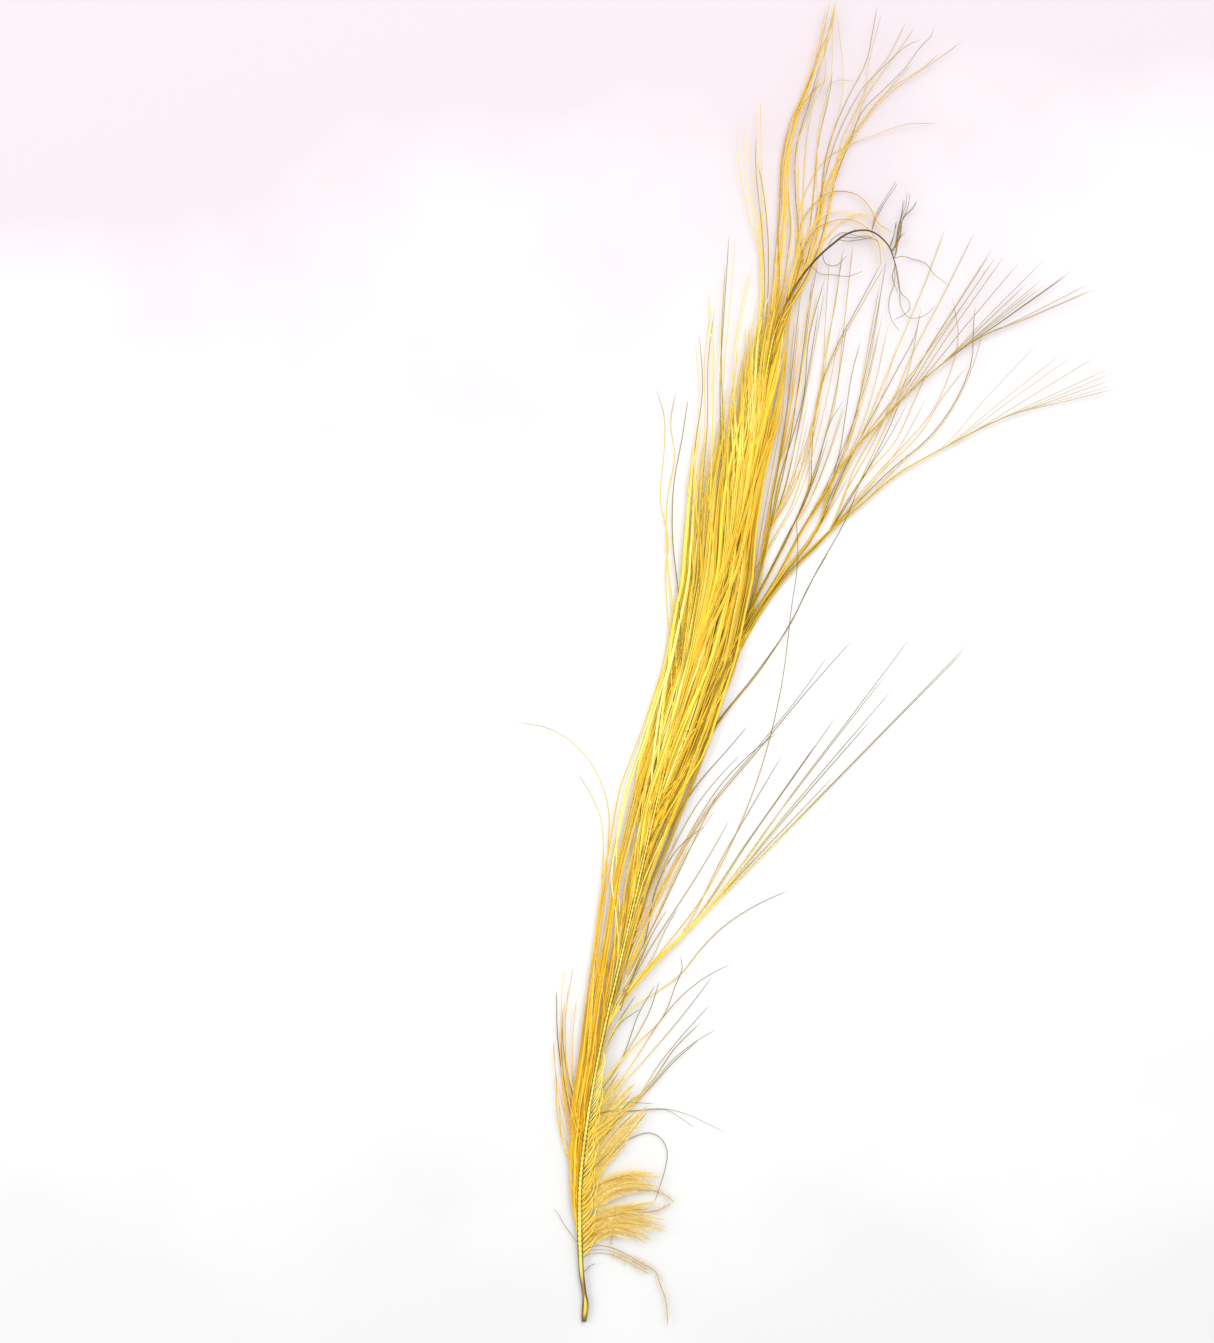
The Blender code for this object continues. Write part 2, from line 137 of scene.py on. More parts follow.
# Tracks along which several barbs leave the dense plume to the right as one line, before they part
TRACKS = [
    [(-27.6, -20), (-23.4, -8), (-19, 2), (-14.6, 12), (-12.7, 20), (-10.4, 30)],
    [(-29.6, -20), (-25.2, -8), (-21.2, 2), (-17.6, 12), (-14, 20), (-8.4, 30)],
    [(-28.8, -20), (-24.4, -8), (-19.8, 2), (-14.9, 12), (-10.6, 20), (-5.6, 30)],
    [(-28.2, -20), (-23.6, -8), (-19, 2), (-13.4, 12), (-8.3, 20), (-3, 30)],
    [(-27.6, -20), (-23, -8), (-18.4, 2), (-12.9, 12), (-7.4, 20), (0.2, 30)],
    [(-27, -20), (-22.4, -8), (-17.9, 2), (-12.4, 12), (-6.6, 20), (3.2, 30)],
]
# The y at which the tracks end, and how far right of its place every second barb of the upper fan takes one
TRACK_END = 30
TRACK_GAP = 2.8

# Golden barbs that keep together beside the right edge of the dense plume
EDGE_ROUTES = [
    [(-22.8, -9), (-17.8, 3.4), (-14.4, 12.5), (-11.9, 25), (-9.7, 37.5), (-7.2, 50), (-5, 61), (-3.1, 73),
     (-0.6, 85)],
    [(-21.6, -7), (-17, 4.6), (-14.2, 13.4), (-12.4, 25), (-10.2, 37), (-8, 48), (-6.3, 58), (-5.4, 69),
     (-4.6, 78)],
]

# Barbs that leave the plume to the right on their own way: points that each passes after it leaves the plume
SPREADING_ROUTES = [
    [(-9.5, 41), (-6.6, 50), (-4.2, 60), (-2.2, 72), (-0.6, 84), (0.8, 91.6)],
    [(-10.4, 33), (-7.8, 43), (-5, 52), (-2.6, 61), (-1.4, 74), (2.3, 87.5)],
    [(-11.4, 27), (-7.4, 36), (-4, 45), (-1.5, 52), (1.4, 63), (2.3, 77), (3.3, 92)],
    [(-14, 21), (-9, 29.5), (-4.5, 40), (-1.5, 50), (1.2, 60), (3, 72), (6.6, 94.5)],
    [(-8, 20), (-5.3, 28), (-4.5, 35), (-2, 47), (0.5, 57), (1.6, 66), (5, 84), (6, 92.6)],
    [(-8.4, 20), (-5, 29.5), (-1, 40), (-0.6, 48), (0.6, 60), (4.5, 71), (9.5, 80.5), (15.3, 91.4)],
    [(-8.8, 21), (-5.4, 29), (-1.6, 39), (-1, 50), (1.6, 63), (5.4, 72), (10.4, 81), (16, 90.6)],
    [(-16, 10), (-11, 20), (-5.5, 29.5), (-1.5, 39), (2, 50), (4.4, 58), (6, 71), (8.6, 95.2)],
    [(-15, 12), (-7.5, 25.2), (-3.5, 34), (0.5, 44), (3.3, 54.5), (6.6, 60)],
    [(-10.6, 16), (-5, 25), (0, 34), (3.6, 41), (5.6, 48), (7, 57), (8.4, 66), (10.4, 73.4)],
    [(-11, 15), (-5.4, 25), (-0.4, 33.4), (4, 42), (7.5, 51), (10.5, 62), (13, 74), (16.2, 91.6)],
    [(-11.2, 14.6), (-5.2, 24.4), (0, 33), (4.6, 42.6), (7.9, 51), (10.8, 62), (13.3, 74), (15, 85)],
    [(-10.6, 15.4), (-5, 24.6), (1, 35), (5.2, 44), (9, 54), (11, 66), (12.6, 75), (14.7, 86.2)],
    [(-11, 14), (-4, 25), (2, 36), (7.5, 45.4), (12, 55.5), (18, 70), (25, 86.5), (29.5, 98.6)],
    [(-10, 14.4), (-3.4, 25), (3, 37), (8, 47), (13, 56.4), (19, 67.6), (22.6, 74.4), (24, 80.5)],
    [(-12, 11), (-4.4, 22.4), (2.6, 33.4), (9.6, 45.6), (17, 58), (22, 70), (28, 81.5), (36, 97.6)],
    [(-6.2, 8.5), (0.5, 21.5), (7, 33), (10, 41), (14, 49.5), (18, 58), (21, 66), (23.4, 77)],
    [(-5.4, 9.6), (-1.2, 18.2), (4, 27.6), (8.4, 38), (13, 46), (17.4, 55), (19.3, 60)],
    [(-11, 10.4), (-2, 23), (5, 34), (12, 43.6), (17.5, 49.4), (22.6, 60), (25.6, 66.6)],
    [(-9, 12.4), (-1, 24), (6, 33.6), (14, 43), (20, 49.4), (26, 56.4), (30, 64.5), (32.4, 74), (31, 83)],
    [(-8, 14), (0, 25.4), (8, 36), (16, 44.6), (24, 52.6), (28.5, 60), (34.4, 67.5)],
    [(-7.6, 14.6), (0.6, 25.4), (9, 36), (18, 44.8), (26, 51.6), (32.5, 61), (35.5, 69), (35.8, 76),
     (36.2, 81.3)],
    [(-7, 15), (1.4, 26), (10, 36.6), (19, 45), (27.4, 52.6), (33.6, 62.6), (36.6, 70.4), (38, 76)],
]

# A fan: the stem that its barbs share, and for each barb the x at which it leaves the stem, and its tip
UPPER_FAN_STEM = [(-12.6, 10), (-6.4, 21.6), (-0.4, 32.6), (4.8, 43.2), (9.7, 49.6), (15, 55), (20, 60.2),
                  (25, 65), (30, 69), (35, 72.9)]
UPPER_FAN_TIPS = [
    (15, 40.2, 94.3), (15, 39.4, 92.6), (17, 40.8, 92.2), (20, 42.5, 92), (22, 46, 90.8), (28, 47.5, 85.8),
    (27, 51.5, 91.3), (29, 50.2, 85.4), (30, 52, 85.9), (29, 51.6, 87.4), (31, 56.9, 88), (31, 58.2, 89.2),
    (33, 62.1, 86.2), (35, 62.6, 84.7), (34, 63.8, 85.1), (9.7, 33, 81), (9.7, 23, 66.4),
]
OUTER_FAN_STEM = [(-14.6, 5.4), (-8.4, 15.4), (-2.4, 23.6), (4, 30.4), (8.4, 34.5), (12, 37.5), (16, 41),
                  (20, 44), (25, 46.8), (30, 49.5), (35, 52.2), (40, 54.7), (45, 56.7)]
OUTER_FAN_TIPS = [
    (27, 50, 72.3), (28, 55.8, 70.3), (30, 58.2, 69.8), (33, 63.6, 69.7), (38, 66.4, 66.9), (40, 68, 66.3),
    (43, 67.2, 64.4), (45, 67.8, 62.4), (45, 67.6, 63.2),
]
LOWER_FAN_STEM = [(-47, -82), (-43.6, -75.9), (-39.5, -70.9), (-35, -66.2), (-30.5, -61.8), (-25.9, -57.2)]
LOWER_FAN_TIPS = [
    (-26, 35.2, 5.2), (-27, 34, 3.4), (-27, 22.1, 6.8), (-28, 17.8, -5.2), (-29, 16.4, -1.8),
    (-27, 12.6, -12.5), (-30, 4.8, -11.6), (-31, 0.1, -18.1), (-28, 4, -25.4), (-33, -7.4, -20.4),
]

# Barbs of the lower right side that have a way of their own, from the shaft to the tip
LOWER_ROUTES = [
    [(-43.6, -75.9), (-35, -65), (-25.9, -53.3), (-18, -38.6), (-12.3, -23.8), (-7.8, -5.7), (-5.3, 13.6),
     (-3.9, 24), (-4.4, 34.6)],
    [(-42.6, -70), (-35, -52.1), (-25.9, -35.1), (-12.3, -18.1), (-3.3, -6.8), (3.1, 2.3)],
    [(-42.2, -68.4), (-34.6, -51.6), (-25.5, -35), (-12, -18.2), (-2.6, -6.8), (8.5, 5.7)],
    [(-41.4, -63), (-33.4, -48), (-27.6, -37), (-20.6, -26.4), (-14.6, -20.2), (-8.8, -15.4)],
    [(-40.4, -60), (-33, -42.8), (-26.2, -31), (-20.8, -24.4), (-16.9, -20.4)],
    [(-39.4, -54), (-33.6, -37), (-29.6, -25), (-26.2, -14.4)],
    [(-38.6, -51), (-32.4, -34), (-27, -22), (-22.6, -13.6), (-18.6, -8.4)],
    [(-38, -46), (-30, -28.6), (-21.4, -12.5), (-12.8, -1.6), (-6.2, 8.5), (0.5, 21.5), (7, 33), (10, 40.6)],
    [(-37.6, -45), (-30.2, -29.4), (-21.9, -13.1), (-13.4, -2), (-5.4, 9.6), (-1.2, 18.2), (3, 25.4)],
    [(-37.4, -43), (-31, -27), (-26.4, -16.4), (-23.8, -7.4)],
    [(-38.8, -50), (-34.6, -40.6), (-28, -29.2), (-19, -18.4), (-15.2, -13.8)],
    [(-44, -78), (-38.2, -62), (-35.6, -50), (-30.4, -41), (-25, -36.4)],
]

# Single barbs at the base of the right side
SINGLE_ROUTES = [
    [(-50.8, -103.1), (-48.4, -98.6), (-44.1, -94), (-39.5, -87.2), (-35, -80.4), (-30.5, -75.2),
     (-25.9, -71.4), (-18.9, -67.5)],
    [(-50.4, -101.3), (-46.3, -97.4), (-39.5, -90.6), (-35, -85.4), (-30.5, -80), (-25.9, -74.1),
     (-23.2, -70.5)],
    [(-51.2, -109.2), (-45.4, -103.4), (-39.5, -97.4), (-35.6, -91), (-30.5, -84.4), (-23.5, -76.6)],
    [(-51, -107.4), (-43.6, -101.6), (-36.1, -94), (-32.3, -89.5), (-28.2, -86.1), (-22.3, -82.3)],
    [(-51.4, -109.4), (-44, -103), (-36.4, -94.8), (-31.6, -89.4), (-26.4, -84.9)],
    [(-51, -106), (-43.2, -100.4), (-37, -94.6), (-31.4, -86.6), (-26, -81)],
    [(-50, -98.4), (-44.1, -89.5), (-39.5, -78.2), (-36.1, -72.5)],
    [(-49.6, -97), (-42.5, -87.5), (-37.3, -78.2), (-35.2, -71.4)],
    [(-48.4, -91), (-45.6, -83.6), (-44.4, -81.6), (-39.5, -77.7)],
    [(-48.6, -91.4), (-46, -84), (-43.8, -80), (-40.6, -74.8)],
    [(-46.8, -84.6), (-42.6, -78.4), (-36.1, -74.1), (-30.5, -70.2), (-25.9, -64.6), (-21.4, -60),
     (-12.3, -53.9), (-6, -51)],
    [(-48, -94), (-40, -85.4), (-35, -80.4), (-31.6, -72.5), (-30, -68), (-30.5, -65.7)],
    [(-45.6, -79), (-40.6, -72), (-36.8, -66.4), (-33.6, -59.6), (-31, -55)],
]

# Loose barbs of the left side, from the base to the upper tips
LEFT_ROUTES = [
    [(-51.4, -90), (-50, -66), (-47.2, -43.6), (-47.2, -30.4), (-52, -20.4), (-59.4, -14.6), (-67.9, -12.9)],
    [(-50.8, -84), (-49.4, -62), (-47.9, -46), (-48.6, -34), (-51.6, -27.6), (-54, -24.2)],
    [(-52.6, -114), (-56.3, -109.9), (-58.1, -102), (-58.5, -92)],
    [(-52.8, -116), (-55.8, -111), (-57.4, -104.4), (-57.8, -99)],
    [(-52, -108), (-56.6, -96), (-58.2, -85), (-58.4, -73.6)],
    [(-51.6, -104), (-55.8, -92), (-56.4, -80), (-54.6, -68)],
    [(-32, -14), (-33, 6), (-33.8, 22), (-33.2, 28), (-35, 37.4), (-34.1, 47.6), (-34.2, 57), (-36, 62.4)],
    [(-31, -10), (-32, 12), (-33.4, 26), (-33.2, 38), (-31.6, 47.6), (-32.6, 54.6), (-31.4, 61.9)],
    [(-30, -6), (-30.8, 16), (-32.2, 30), (-31.8, 42), (-30.2, 50.6), (-28.6, 60.6)],
]
UPPER_LEFT_ROUTES = [
    [(-27, 2), (-27.6, 30), (-26.8, 50), (-25.4, 62), (-26.2, 75)],
    [(-26, 6), (-26, 34), (-24.8, 56), (-25, 68), (-23.6, 80.6)],
    [(-23.6, 12), (-23.4, 38), (-22.8, 60), (-22.8, 71), (-24.1, 85.2)],
    [(-21.4, 20), (-20.8, 46), (-20.6, 66), (-19.4, 80), (-18, 96.3)],
    [(-20.6, 22), (-20.6, 50), (-21.4, 70), (-20.6, 88.6)],
    [(-19, 26), (-18.6, 52), (-18.4, 70), (-15, 88.8)],
    [(-16, 36), (-14.6, 62), (-12.2, 85), (-12.8, 94), (-15, 101.5), (-17.2, 113), (-17.7, 122.7)],
    [(-15.6, 38), (-13.8, 64), (-12, 88), (-13, 101), (-14.4, 113), (-14.6, 119.3)],
    [(-15, 42), (-13.4, 66), (-12, 88), (-12.5, 103), (-12.9, 117), (-13.2, 126)],
    [(-14.6, 44), (-12.4, 66), (-10.6, 86), (-10.8, 99), (-12, 108.5), (-13, 113.4)],
]

# The barbs above the bent tip: a golden column on the left, and beside it the finer ones that fan out
COLUMN_ROUTES = [
    [(-13, 52), (-10.2, 72), (-8.6, 86), (-7.6, 96), (-6.8, 102), (-6.7, 108), (-6.5, 113), (-5.6, 119),
     (-4.1, 124), (-2, 130.3), (-0.1, 135), (2.2, 140.6), (3.9, 146.5), (4.4, 150.3)],
    [(-13.4, 50), (-10.6, 72), (-9.1, 86), (-8.2, 96), (-7.3, 102), (-7.1, 109), (-6.4, 115), (-5, 120.5),
     (-3.6, 125.6), (-1.2, 129), (1.2, 131.4), (3.4, 133.3)],
    [(-12.6, 54), (-10, 74), (-8.9, 88), (-9.1, 98), (-8.5, 106), (-8.2, 112), (-7.2, 118), (-5.2, 124),
     (-2.6, 129.4), (-0.8, 133.7), (0.4, 138), (1.5, 143.3), (2.6, 149.4)],
    [(-12.2, 56), (-9.2, 76), (-7.4, 90), (-6.4, 98), (-6.2, 106), (-6.1, 113), (-5.2, 119), (-3.4, 124.6),
     (-0.8, 129.4), (1.6, 131.6)],
    [(-11.8, 58), (-8.6, 78), (-6.4, 91), (-5.6, 98), (-6.1, 106), (-6, 112), (-5, 119.4), (-3, 126.4),
     (-1.2, 131.6), (0.2, 137), (2.6, 141.6), (4, 147)],
]
TOP_ROUTES = [
    [(-10.6, 62), (-6.6, 80), (-3.6, 92), (-2.4, 97), (-3, 103), (-4.2, 109), (-4.5, 114), (-3.9, 119),
     (-2, 124), (0, 131), (1, 135), (3.3, 143), (4.4, 148.6)],
    [(-10.2, 64), (-6.6, 82), (-5, 92), (-4.7, 99), (-4.9, 105), (-4.5, 111), (-4.5, 117), (-3.6, 122),
     (-2, 126.6), (-0.2, 130), (1, 132.4)],
    [(-9.8, 68), (-5.2, 82), (-2.8, 90), (-3.8, 97), (-4.4, 103), (-4.6, 110), (-4.2, 117), (-2.8, 122),
     (-1, 127.4), (0.4, 133), (1.2, 136)],
    [(-10.2, 66), (-6, 82), (-3.2, 92), (-2.8, 100), (-2.8, 108), (-2.4, 116), (-1.7, 122.6), (-0.4, 128),
     (1.7, 131.4), (2.1, 135), (2, 139), (3.2, 143.6)],
    [(-9.6, 68), (-3.6, 86), (-0.9, 97), (-0.3, 104), (-0.3, 111), (0, 117), (0.9, 123.4), (2.2, 127.5),
     (3.4, 131.6), (4, 136), (4, 142), (4.6, 150.2)],
    [(-9.4, 70), (-3.8, 87), (-1, 98), (-0.2, 108), (0.2, 115), (1.2, 121.6), (2.6, 126.8), (3.4, 130.6),
     (3.9, 134)],
    [(-9.2, 72), (-3.2, 87), (-0.8, 94.4), (0.8, 101), (1.7, 107), (2.1, 113), (3.2, 119), (4.6, 124.4),
     (5.7, 129), (6, 133.6), (5.6, 140), (4.9, 146.9)],
    [(-9, 74), (-2.8, 88), (-0.4, 95.4), (1.2, 102), (1.9, 109), (3, 116), (4.6, 121), (6.4, 125.6),
     (8.8, 130.7), (10.6, 134), (12, 138), (12.8, 142.6), (14, 148.7)],
    [(-8.8, 75), (-2.2, 89), (0.4, 97), (2, 104), (3.4, 110), (4.9, 115.6), (6, 120), (8, 124),
     (9.7, 127.4), (11.1, 130.2), (11.7, 135), (13.4, 141.6), (15, 147)],
    [(-8.6, 76), (-1.8, 89.6), (0.6, 97.6), (2.2, 104.6), (3.8, 111), (5.4, 117.2), (7.4, 122.6),
     (9.6, 127.2), (11.4, 130.4), (14.7, 134), (17.2, 136.6), (20.9, 139.9), (24, 141.1)],
    [(-8.6, 76.4), (-1.6, 90), (0.8, 98), (2.4, 105), (4, 111.4), (5.8, 117), (8, 121.4), (10, 126.4),
     (13, 132.4), (16.7, 137.4), (19.3, 142.4), (20.6, 145.4)],
    [(-8.4, 77), (-1.4, 90.2), (1, 98.4), (2.6, 105.4), (4.4, 112), (6.4, 117), (9.4, 122), (11.3, 127.4),
     (16.3, 134.9), (20.1, 140.3), (22.6, 144.2)],
    [(-8.4, 77), (-1.2, 90.6), (1.2, 99), (2.8, 106), (4.8, 112.6), (7.4, 118.4), (10.5, 125.3),
     (16.3, 130.8), (20.9, 135.3), (23.8, 139.5), (26.5, 142.4), (26.9, 144)],
    [(-8.2, 78), (-1, 91), (1.4, 99.4), (3, 106), (5, 112.4), (8, 118.8), (12.6, 125.4), (18.4, 132.4),
     (21.3, 135.3), (22.4, 136.4)],
    [(-8.2, 78), (-0.8, 91.2), (1.8, 100), (3.4, 107), (5.6, 113.6), (9.7, 121.2), (16.8, 130.3),
     (24.7, 135.3), (28.3, 138.3)],
    [(-8, 79), (-0.6, 91.4), (2, 100), (3.6, 107), (5.8, 113.8), (10.2, 121.6), (17.6, 130), (26.3, 136),
     (31.3, 139.5), (33.3, 141)],
    [(-9.6, 70), (-6.4, 84), (-4.9, 93), (-4.2, 102), (-2.3, 108.5), (-0.3, 112.1), (2.5, 115.5), (7, 118),
     (14, 120.5), (21, 122.4), (27.8, 122.2)],
    [(-9.4, 70), (-3.6, 87), (-0.9, 97), (-0.2, 106), (0.2, 114), (1.2, 121.6), (2.4, 127), (3.4, 131.8),
     (5.3, 132.4), (9.6, 131.8)],
]

# Arcs beside the bent tip, and the dried wisps on it, of which the first ones form a dark tuft
ARC_ROUTES = [
    [(-6.6, 81), (-4.2, 91), (-1.6, 97), (0.5, 100.2), (3, 102), (6, 102.5), (9, 101.6), (13, 97.5),
     (15.2, 94.4), (15.7, 90.8)],
    [(-6.2, 82), (-3, 92), (1, 98.8), (4, 100.2), (7.5, 100.6), (11, 99.2), (14.2, 95.4), (14.8, 90)],
    [(-5.6, 83.4), (-1, 92), (3, 97.4), (6.6, 100.8), (10.5, 102.1), (13, 101), (14.6, 98.6), (15.4, 93)],
    [(-7, 80), (-4.6, 92), (-2.4, 101.6), (0.4, 105), (3, 106.8), (6.5, 107.2), (10, 106), (12.6, 103),
     (14.4, 99.6), (17.2, 97.8)],
]
TIP_ROUTES = [
    [(16.8, 93.4), (17.8, 94), (18.9, 97.4), (19.4, 99.6), (20.3, 101.5), (22.3, 103.6), (23, 105)],
    [(16.9, 93), (18.4, 95), (19.3, 97.6), (19.6, 101), (20.5, 103.5), (20.8, 107)],
    [(17, 92.6), (18.2, 95.2), (18.8, 99), (19.5, 102), (19.9, 105.2)],
    [(16.6, 94), (17.3, 95.4), (17.9, 97.6), (18.2, 100)],
    [(12.6, 97.6), (13.4, 100.4), (14.8, 103.4), (16.5, 106.3), (18.3, 109.3)],
    [(17.6, 91.4), (18.3, 93.2), (18.9, 96), (20.2, 97.6)],
    [(17.8, 91), (17.9, 86), (16.8, 83), (16.7, 80), (17.5, 77.5), (19.3, 75)],
    [(17.9, 90.6), (19.1, 85.4), (19.7, 80.5), (21, 78.7), (23, 78.4), (25.5, 79.5), (27.3, 81.2)],
    [(18, 90.2), (18.6, 87), (19.6, 84), (21.3, 82.2), (21.4, 80.2), (20, 79), (17.6, 77.8)],
    [(18, 90.4), (17.7, 87.6), (18.2, 85.4), (18.6, 84)],
    [(17.8, 91.6), (19.3, 92.1), (22, 91.8), (25, 90.8), (27, 88.3), (30, 85.8)],
    [(4, 94.8), (5.6, 96.6), (8, 97.6), (9.4, 98.6)],
    [(2.6, 93.6), (4.2, 96.6), (6.4, 97.9), (9, 97.2), (11.6, 96.4), (13.8, 96)],
    [(5, 95.6), (8, 96), (11, 96.2), (13.4, 96.8)],
    [(6, 96.2), (9, 96.8), (12, 97), (14.4, 95.4)],
    [(1.4, 92.6), (2.2, 91), (4.6, 90.4), (7.2, 92.4)],
    [(-1, 90), (0.6, 88.6), (3.8, 88.4), (7.6, 87.8), (10.8, 88.9)],
]
TUFT_WISPS = 6

# Down at the base: middle lines of the locks, each with how far its barbs spread at the tips and their number
DOWN_LOCKS = [
    ([(-52.8, -124.6), (-50.4, -119.8), (-46.1, -117), (-41.4, -116), (-35, -116.6)], 1.9, 13),
    ([(-53, -127.4), (-50.2, -122.4), (-45.6, -119), (-40.6, -117.9), (-36.4, -118.4)], 1.3, 8),
    ([(-53.1, -130), (-50.6, -126.2), (-46.2, -124), (-41.8, -123.3), (-35.6, -122.8)], 1.8, 12),
    ([(-53.1, -131.4), (-50.2, -128.2), (-46.4, -125.8), (-41.6, -125.4), (-33.6, -126.4)], 2.0, 11),
    ([(-53.1, -132.6), (-50, -129.6), (-46, -127.6), (-41.6, -128.2), (-37.4, -130.4)], 1.8, 7),
]
DOWN_HAIRS = [
    [(-53, -133.6), (-51.4, -132), (-49.6, -131.4), (-46.9, -131.6), (-42.9, -133.2), (-38.9, -135.4),
     (-35.8, -137.4), (-35, -139.8), (-33.7, -143.7), (-33.3, -149.6)],
    [(-53, -134.6), (-51.8, -133.6), (-50, -133.2), (-46.9, -133.4), (-42.9, -135), (-37.3, -137.8)],
    [(-53, -134), (-51, -132.6), (-47.6, -132.4), (-42.6, -134.2), (-37.6, -136.9)],
    [(-50.2, -128.8), (-47.6, -128), (-45.6, -128), (-45.9, -129.6), (-46.3, -131.4)],
    [(-40, -118.6), (-36.4, -119), (-34, -119.8), (-31.8, -121.5)],
    [(-40.4, -123.8), (-37.2, -123.8), (-34.8, -123), (-32.6, -121.8)],
]
BARE_HAIRS = [
    [(-53.4, -130.9), (-55, -129.2), (-56.4, -127.2), (-58.2, -123.9), (-59, -123)],
    [(-52.8, -117), (-48.6, -112.2), (-44.6, -109), (-40.5, -106.7), (-37.3, -106), (-34.9, -107.2),
     (-33.5, -109.9), (-33.9, -113.9), (-34.9, -117.5), (-36.3, -121.7)],
    [(-51.6, -105), (-49.2, -101.4), (-46.5, -100.8), (-41.4, -101), (-36.6, -100.4), (-33, -100.6),
     (-28.6, -101.8), (-24.6, -103.6), (-20.3, -105.6)],
    [(-51.5, -104.6), (-49, -101.8), (-44, -101.2), (-37, -100.7), (-33.7, -100.6), (-30.4, -102.4),
     (-27, -104.8)],
    [(-51.3, -103.6), (-48.6, -100), (-45.3, -99.2), (-41, -99.1), (-36.6, -99.2)],
    [(-53, -137.8), (-51.8, -137), (-51.2, -136.2), (-49.6, -135.4)],
]

# Guides: other barbs lie between these, from the first to the last
BASE_FAN_GUIDES = [
    [(-53, -123.4), (-49.4, -116.8), (-44.7, -110.7), (-39.7, -104), (-36.4, -98.4)],
    [(-52.2, -114), (-48, -107), (-44, -102), (-40.6, -98.8), (-37.4, -96.4)],
    [(-51, -104), (-48.4, -98.8), (-46.2, -94.6), (-44.4, -91)],
]
LEFT_BASE_GUIDES = [
    [(-53.4, -113), (-56.8, -105), (-58.6, -96), (-59.2, -86), (-58.9, -75)],
    [(-53, -109), (-55.8, -98), (-57.2, -88), (-57.2, -78), (-56, -67)],
    [(-52.4, -105), (-54.8, -94), (-55.6, -84), (-54.8, -74), (-53.2, -62)],
]
LOWER_SIDE_GUIDES = [
    [(-42, -66), (-38, -54), (-34.4, -43), (-30.8, -33), (-27.6, -25)],
    [(-43, -72), (-36.5, -58), (-30.4, -45.4), (-24.4, -35), (-18.6, -26.6)],
    [(-44.2, -77), (-35.5, -62.8), (-27.2, -50), (-19.8, -38.6), (-13.4, -27.4)],
]
SPREADING_GUIDES = [
    [(-9.8, 36), (-7.2, 48), (-5.2, 60), (-3.4, 74), (-1.6, 88)],
    [(-9.4, 28), (-5.4, 41), (-2.4, 54), (0.8, 69), (4.4, 87)],
    [(-10, 20), (-3.5, 34), (1.6, 47), (5.8, 62), (9.6, 81)],
    [(-11, 14), (-2, 29.4), (4.8, 43.6), (10.2, 58), (14.5, 78)],
    [(-11.5, 11), (-1, 26), (8, 40.4), (15.4, 54), (22, 74)],
    [(-12, 8.6), (-0.6, 23.2), (9, 35.8), (19, 47.6), (31, 68)],
]

# Profiles of strands, as shares across and up: plain, and with a flat web on both sides of the ridge
PLAIN = [(1.0, 0.0), (0.0, 1.0), (-1.0, 0.0), (0.0, -1.0)]
WEBBED = [(1.0, -0.2), (0.28, 1.0), (-0.28, 1.0), (-1.0, -0.2), (-0.28, -1.0), (0.28, -1.0)]

# Each strand's band in the map, in shares of it: the strand's own part, the direction and start of the part
# for the barbules of either side, its width, and how far along the band the closed ends reach
STRAND_BAND = 0.62
BARBULE_STARTS = ((-1.0, 0.65), (1.0, 0.83))
BARBULE_BAND = 0.15
END_STRIP = 0.004

# Heights in millimetres: where loose strands start to lie, and the lowest middle of a strand and of a barbule
LYING_HEIGHT = 0.45
LOWEST_STRAND = 0.12
LOWEST_BARBULE = 0.04
# The share of its length over which a loose strand comes down from its root
SETTLES_BY = 0.35
# Above this y the heights of the dense plume no longer hold
PLUME_TOP = 104
# How far below the first point that shows a hidden barb is rooted, before it is varied
HIDDEN_LENGTH = 16.0
# The share of loose barbs that are dark
DARK_SHARE = 0.3
LEVEL = Vector((0.0, 0.0, 1.0))

# Finishes of barbs: where along them they start to dry and where they are dry, whether they have a web, and
# how deep their dye gets away from the root
BARB_FINISHES = {
    "webbed_barb": (0.88, 1.3, True, 0.0),
    "spreading_barb": (0.82, 1.12, False, 0.25),
    "fan_barb": (0.64, 1.2, False, 0.32),
    "single_barb": (0.25, 0.85, False, 0.3),
    "down_barb": (0.5, 1.3, False, 0.0),
    "dried_wisp": (-0.4, 0.7, False, 0.0),
    "dried_barbule": (-1.0, 0.2, False, 0.0),
}

# Each kind of strand: the finishes of its barbs and of its barbules
LONG = ("webbed_barb", "dyed_barbule")
SPREADING = ("spreading_barb", "dyed_barbule")
FAN = ("fan_barb", "dyed_barbule")
SINGLE = ("single_barb", "dyed_barbule")
DOWN = ("down_barb", "down_barbule")
WISP = ("dried_wisp", "dried_barbule")


def ease(share):
    """Ease from 0 to 1 as the share goes from 0 to 1, and stay there."""
    share = np.clip(share, 0.0, 1.0)
    return share * share * (3.0 - 2.0 * share)


def unit_length(vectors):
    """Return each vector at length 1."""
    return vectors / np.maximum(np.linalg.norm(vectors, axis=-1, keepdims=True), 1e-9)


def travelled_along(places):
    """Return how far along their line the places lie."""
    return np.concatenate(([0.0], np.cumsum(np.linalg.norm(np.diff(places, axis=0), axis=1))))


def read_at(wanted, travelled, table):
    """Return rows of a table whose own rows stand for the travelled distances, at the wanted ones."""
    return np.stack([np.interp(wanted, travelled, column) for column in table.T], axis=1)


